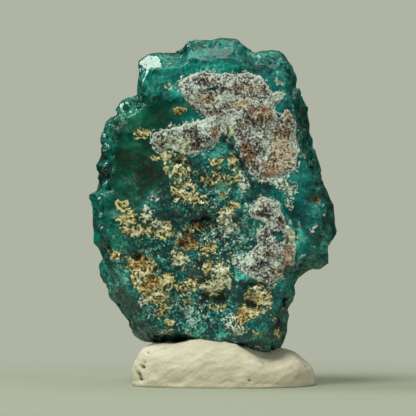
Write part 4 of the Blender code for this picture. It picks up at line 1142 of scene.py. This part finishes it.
def puttyMaterial():
    look = puttyFinish
    made, tree = newMaterial("mountingPutty")
    field, noiseOf, _, _, blend, *_ = nodeTools(tree)
    slope, stretch, size = look["pulls"]
    strokes = addNode(tree, "ShaderNodeMapping", {
        "Vector": addNode(tree, "ShaderNodeTexCoord").outputs["Object"],
        "Rotation": (0, math.radians(slope), 0), "Scale": stretch}, vector_type="TEXTURE")
    pulled = addNode(tree, "ShaderNodeTexNoise", {
        "Vector": strokes.outputs[0], "Scale": 1 / (size * mm), "Detail": 4.0,
        "Roughness": 0.62}).outputs["Fac"]
    fine = noiseOf(look["fineSize"], 5.0, 0.7)

    def straight(value, limits):
        return addNode(tree, "ShaderNodeMapRange", {
            "Value": value, "From Min": limits[0], "From Max": limits[1]}).outputs[0]

    body = blend(straight(pulled, look["toneRange"]), look["shade"], look["light"])
    body = blend(straight(field("pits"), look["pitRange"]), body, look["pitBrown"])
    (pullStrength, pullDepth), (fineStrength, fineDepth) = look["pullBump"], look["fineBump"]
    bump = addNode(tree, "ShaderNodeBump", {
        "Strength": pullStrength, "Distance": pullDepth * mm, "Height": pulled})
    bump = addNode(tree, "ShaderNodeBump", {
        "Strength": fineStrength, "Distance": fineDepth * mm, "Height": fine,
        "Normal": bump.outputs[0]})
    weight, reach = look["subsurface"]
    shader = addNode(tree, "ShaderNodeBsdfPrincipled", {
        "Base Color": body, "Roughness": look["roughness"], "IOR": look["ior"],
        "Subsurface Weight": weight, "Subsurface Scale": reach * mm, "Normal": bump.outputs[0]})
    addNode(tree, "ShaderNodeOutputMaterial", {"Surface": shader.outputs[0]})
    return made


def buildPutty():
    form = puttyForm
    bm = bmesh.new()
    around, down = form["segments"]
    bmesh.ops.create_uvsphere(bm, u_segments=around, v_segments=down, radius=1.0)
    underside = form["underside"]
    for vertex in bm.verts:
        vertex.co.z = max(vertex.co.z, underside)
    bmesh.ops.remove_doubles(bm, verts=bm.verts, dist=1e-5)
    ball = np.array([v.co for v in bm.verts])
    angle = np.arctan2(ball[:, 1], ball[:, 0])
    flat = np.hypot(ball[:, 0], ball[:, 1])
    power = form["squareness"]
    plan = (np.abs(np.cos(angle)) ** power + np.abs(np.sin(angle)) ** power) ** (-1 / power)
    above, below = form["fullness"]
    outer = np.where(ball[:, 2] > 0, flat ** above, np.minimum(1.0, flat * below))
    ring = np.column_stack([np.cos(angle), np.sin(angle), 0 * angle])
    outer = plan * outer * (1 + layered(ring * form["bends"], form["outlineWander"], "puttyOutline"))
    x = form["halfWidth"] * outer * np.cos(angle)
    y = form["halfDepth"] * outer * np.sin(angle)
    x = np.where(x > 0, form["rightShare"] * x, x)
    height = form["top"] + 0 * x
    for atX, atY, wide, deep, swell in form["swells"]:
        height += swell * np.exp(-((x - atX) / wide) ** 2 - ((y - atY) / deep) ** 2)
    level = np.where(ball[:, 2] > 0, np.abs(ball[:, 2]) ** form["flatTop"], ball[:, 2])
    z = height * np.clip((level - underside) / (1 - underside), 0, 1)
    for vertex, place in zip(bm.verts, np.column_stack([x, y, z])):
        vertex.co = Vector(place) * mm
    bmesh.ops.recalc_face_normals(bm, faces=bm.faces)

    piece = pieceFrom("mountingPutty", bm, puttyMaterial(), "putty_base",
                      form["sharpAngle"])
    mesh = piece.data
    points, normals = meshPoints(mesh), meshNormals(mesh)
    slope = math.radians(form["pullSlope"])
    along = points[:, 0] * math.cos(slope) + points[:, 2] * math.sin(slope)
    over = points[:, 2] * math.cos(slope) - points[:, 0] * math.sin(slope)
    turned = np.column_stack([along, points[:, 1], over]) * form["pullStretch"]
    rise = layered(turned, form["pullRise"], "puttyPulls")
    rise *= smoothStep(*form["pullsFrom"], points[:, 0])
    rise += layered(points, form["lumpRise"], "puttyLumps")
    rise *= smoothStep(*form["clearOfBase"], points[:, 2])
    pits = np.zeros(len(points))
    for x, z, radius, depth in form["pits"]:
        near = ((points[:, 0] - x) ** 2 + (points[:, 2] - z) ** 2) / radius ** 2
        here = np.exp(-near ** 1.5) * (points[:, 1] < 0)
        pits = np.maximum(pits, here)
        rise -= depth * here
    points += normals * rise[:, None]
    points[:, 2] = np.maximum(points[:, 2], 0.0)
    setPoints(mesh, points)
    setField(mesh, "pits", pits)
    print("putty:", len(mesh.polygons), "faces")


studio = {
    "backdrop": "#b0b4a4",
    "room": ((-0.1, 0.9), (0.05, 0.5)),  # how far up it grows paler, and its strength at both
    "floor": "#9fa294",
    "floorFade": (20, 90, 100),  # mm from the middle where it starts to fade, is gone, and ends
    "lightTint": "#f6fcf0",
    "cameraDistance": 470.0,
    "pictureWidth": 54.08,  # mm across the picture, where the specimen stands
    "pictureMiddle": (-1.9, 23.0),
    "silhouetteY": 1.0,
    # softboxes, each turned to the specimen: (place in mm, width, height, strength in watts, and
    # whether glossy surfaces mirror it)
    "softboxes": [
        ((-330, 100, 420), 220, 190, 0.95, True),
        ((-170, -250, 440), 260, 220, 2.6, False),
        ((80, 120, 480), 260, 220, 0.26, True),
        ((380, -260, 160), 160, 160, 0.4, False),
        ((-120, -420, 120), 60, 40, 0.02, True),
    ],
}


def buildStudio():
    scene = bpy.context.scene
    scene.view_settings.view_transform = "Standard"
    world = bpy.data.worlds.new("paleBackdrop")
    scene.world = world
    world.use_nodes = True
    tree = world.node_tree
    tree.nodes.clear()
    pale = linearColour(studio["backdrop"])
    seen = addNode(tree, "ShaderNodeBackground", {"Color": pale, "Strength": 1.0})
    # what the surfaces mirror is a dim room that grows paler overhead
    direction = addNode(tree, "ShaderNodeTexCoord").outputs["Generated"]
    parts = addNode(tree, "ShaderNodeSeparateXYZ", {"Vector": direction})
    (low, high), (dim, bright) = studio["room"]
    overhead = addNode(tree, "ShaderNodeMapRange", {
        "Value": parts.outputs["Z"], "From Min": low, "From Max": high,
        "To Min": dim, "To Max": bright})
    around = addNode(tree, "ShaderNodeBackground", {"Color": pale, "Strength": overhead.outputs[0]})
    ray = addNode(tree, "ShaderNodeLightPath").outputs["Is Camera Ray"]
    mixed = addNode(tree, "ShaderNodeMixShader", {0: ray, 1: around.outputs[0], 2: seen.outputs[0]})
    addNode(tree, "ShaderNodeOutputWorld", {"Surface": mixed.outputs[0]})

    middleX, middleZ = studio["pictureMiddle"]
    target = Vector((middleX, 0, middleZ)) * mm
    for number, (place, width, height, power, mirrored) in enumerate(studio["softboxes"]):
        light = bpy.data.lights.new(f"softbox{number}", "AREA")
        light.shape = "RECTANGLE"
        light.size, light.size_y = width * mm, height * mm
        light.energy = power
        light.color = linearColour(studio["lightTint"])[:3]
        lamp = bpy.data.objects.new(light.name, light)
        lamp.location = Vector(place) * mm
        lamp.rotation_euler = (target - lamp.location).to_track_quat("-Z", "Y").to_euler()
        lamp.visible_camera = False
        lamp.visible_glossy = mirrored
        scene.collection.objects.link(lamp)

    # a pale floor disc that fades into the backdrop
    made, tree = newMaterial("paleFloor")
    place = addNode(tree, "ShaderNodeTexCoord").outputs["Object"]
    distance = addNode(tree, "ShaderNodeVectorMath", {0: place}, operation="LENGTH").outputs["Value"]
    fadeFrom, fadeTo, radius = studio["floorFade"]
    fade = addNode(tree, "ShaderNodeMapRange", {
        "Value": distance, "From Min": fadeFrom * mm, "From Max": fadeTo * mm,
        "To Min": 1.0, "To Max": 0.0}, interpolation_type="SMOOTHSTEP")
    matte = addNode(tree, "ShaderNodeBsdfDiffuse", {"Color": linearColour(studio["floor"])})
    clear = addNode(tree, "ShaderNodeBsdfTransparent")
    mixed = addNode(tree, "ShaderNodeMixShader", {
        0: fade.outputs[0], 1: clear.outputs[0], 2: matte.outputs[0]})
    addNode(tree, "ShaderNodeOutputMaterial", {"Surface": mixed.outputs[0]})
    bm = bmesh.new()
    bmesh.ops.create_circle(bm, cap_ends=True, segments=96, radius=radius * mm)
    mesh = bpy.data.meshes.new("floor")
    bm.to_mesh(mesh)
    bm.free()
    mesh.materials.append(made)
    floor = bpy.data.objects.new("floor", mesh)
    scene.collection.objects.link(floor)

    camera = bpy.data.cameras.new("camera")
    camera.sensor_width = 36.0
    camera.lens = camera.sensor_width * studio["cameraDistance"] / studio["pictureWidth"]
    camera.clip_start, camera.clip_end = 0.01, 10.0
    holder = bpy.data.objects.new("camera", camera)
    standsAt = studio["silhouetteY"] - studio["cameraDistance"]
    holder.location = Vector((middleX, standsAt, middleZ)) * mm
    holder.rotation_euler = (math.radians(90), 0, 0)
    scene.collection.objects.link(holder)
    scene.camera = holder


print("building the crystals")
crystals = buildCrystals()
ground = BVHTree.FromPolygons([v.co.copy() for v in crystals.data.vertices],
                              [tuple(p.vertices) for p in crystals.data.polygons])
print("building the host rock")
rock = rockMaterial()
for scabName, scabShape in scabs.items():
    buildScab(scabName, scabShape, ground, rock)
print("building the putty")
buildPutty()
print("setting up the studio")
buildStudio()
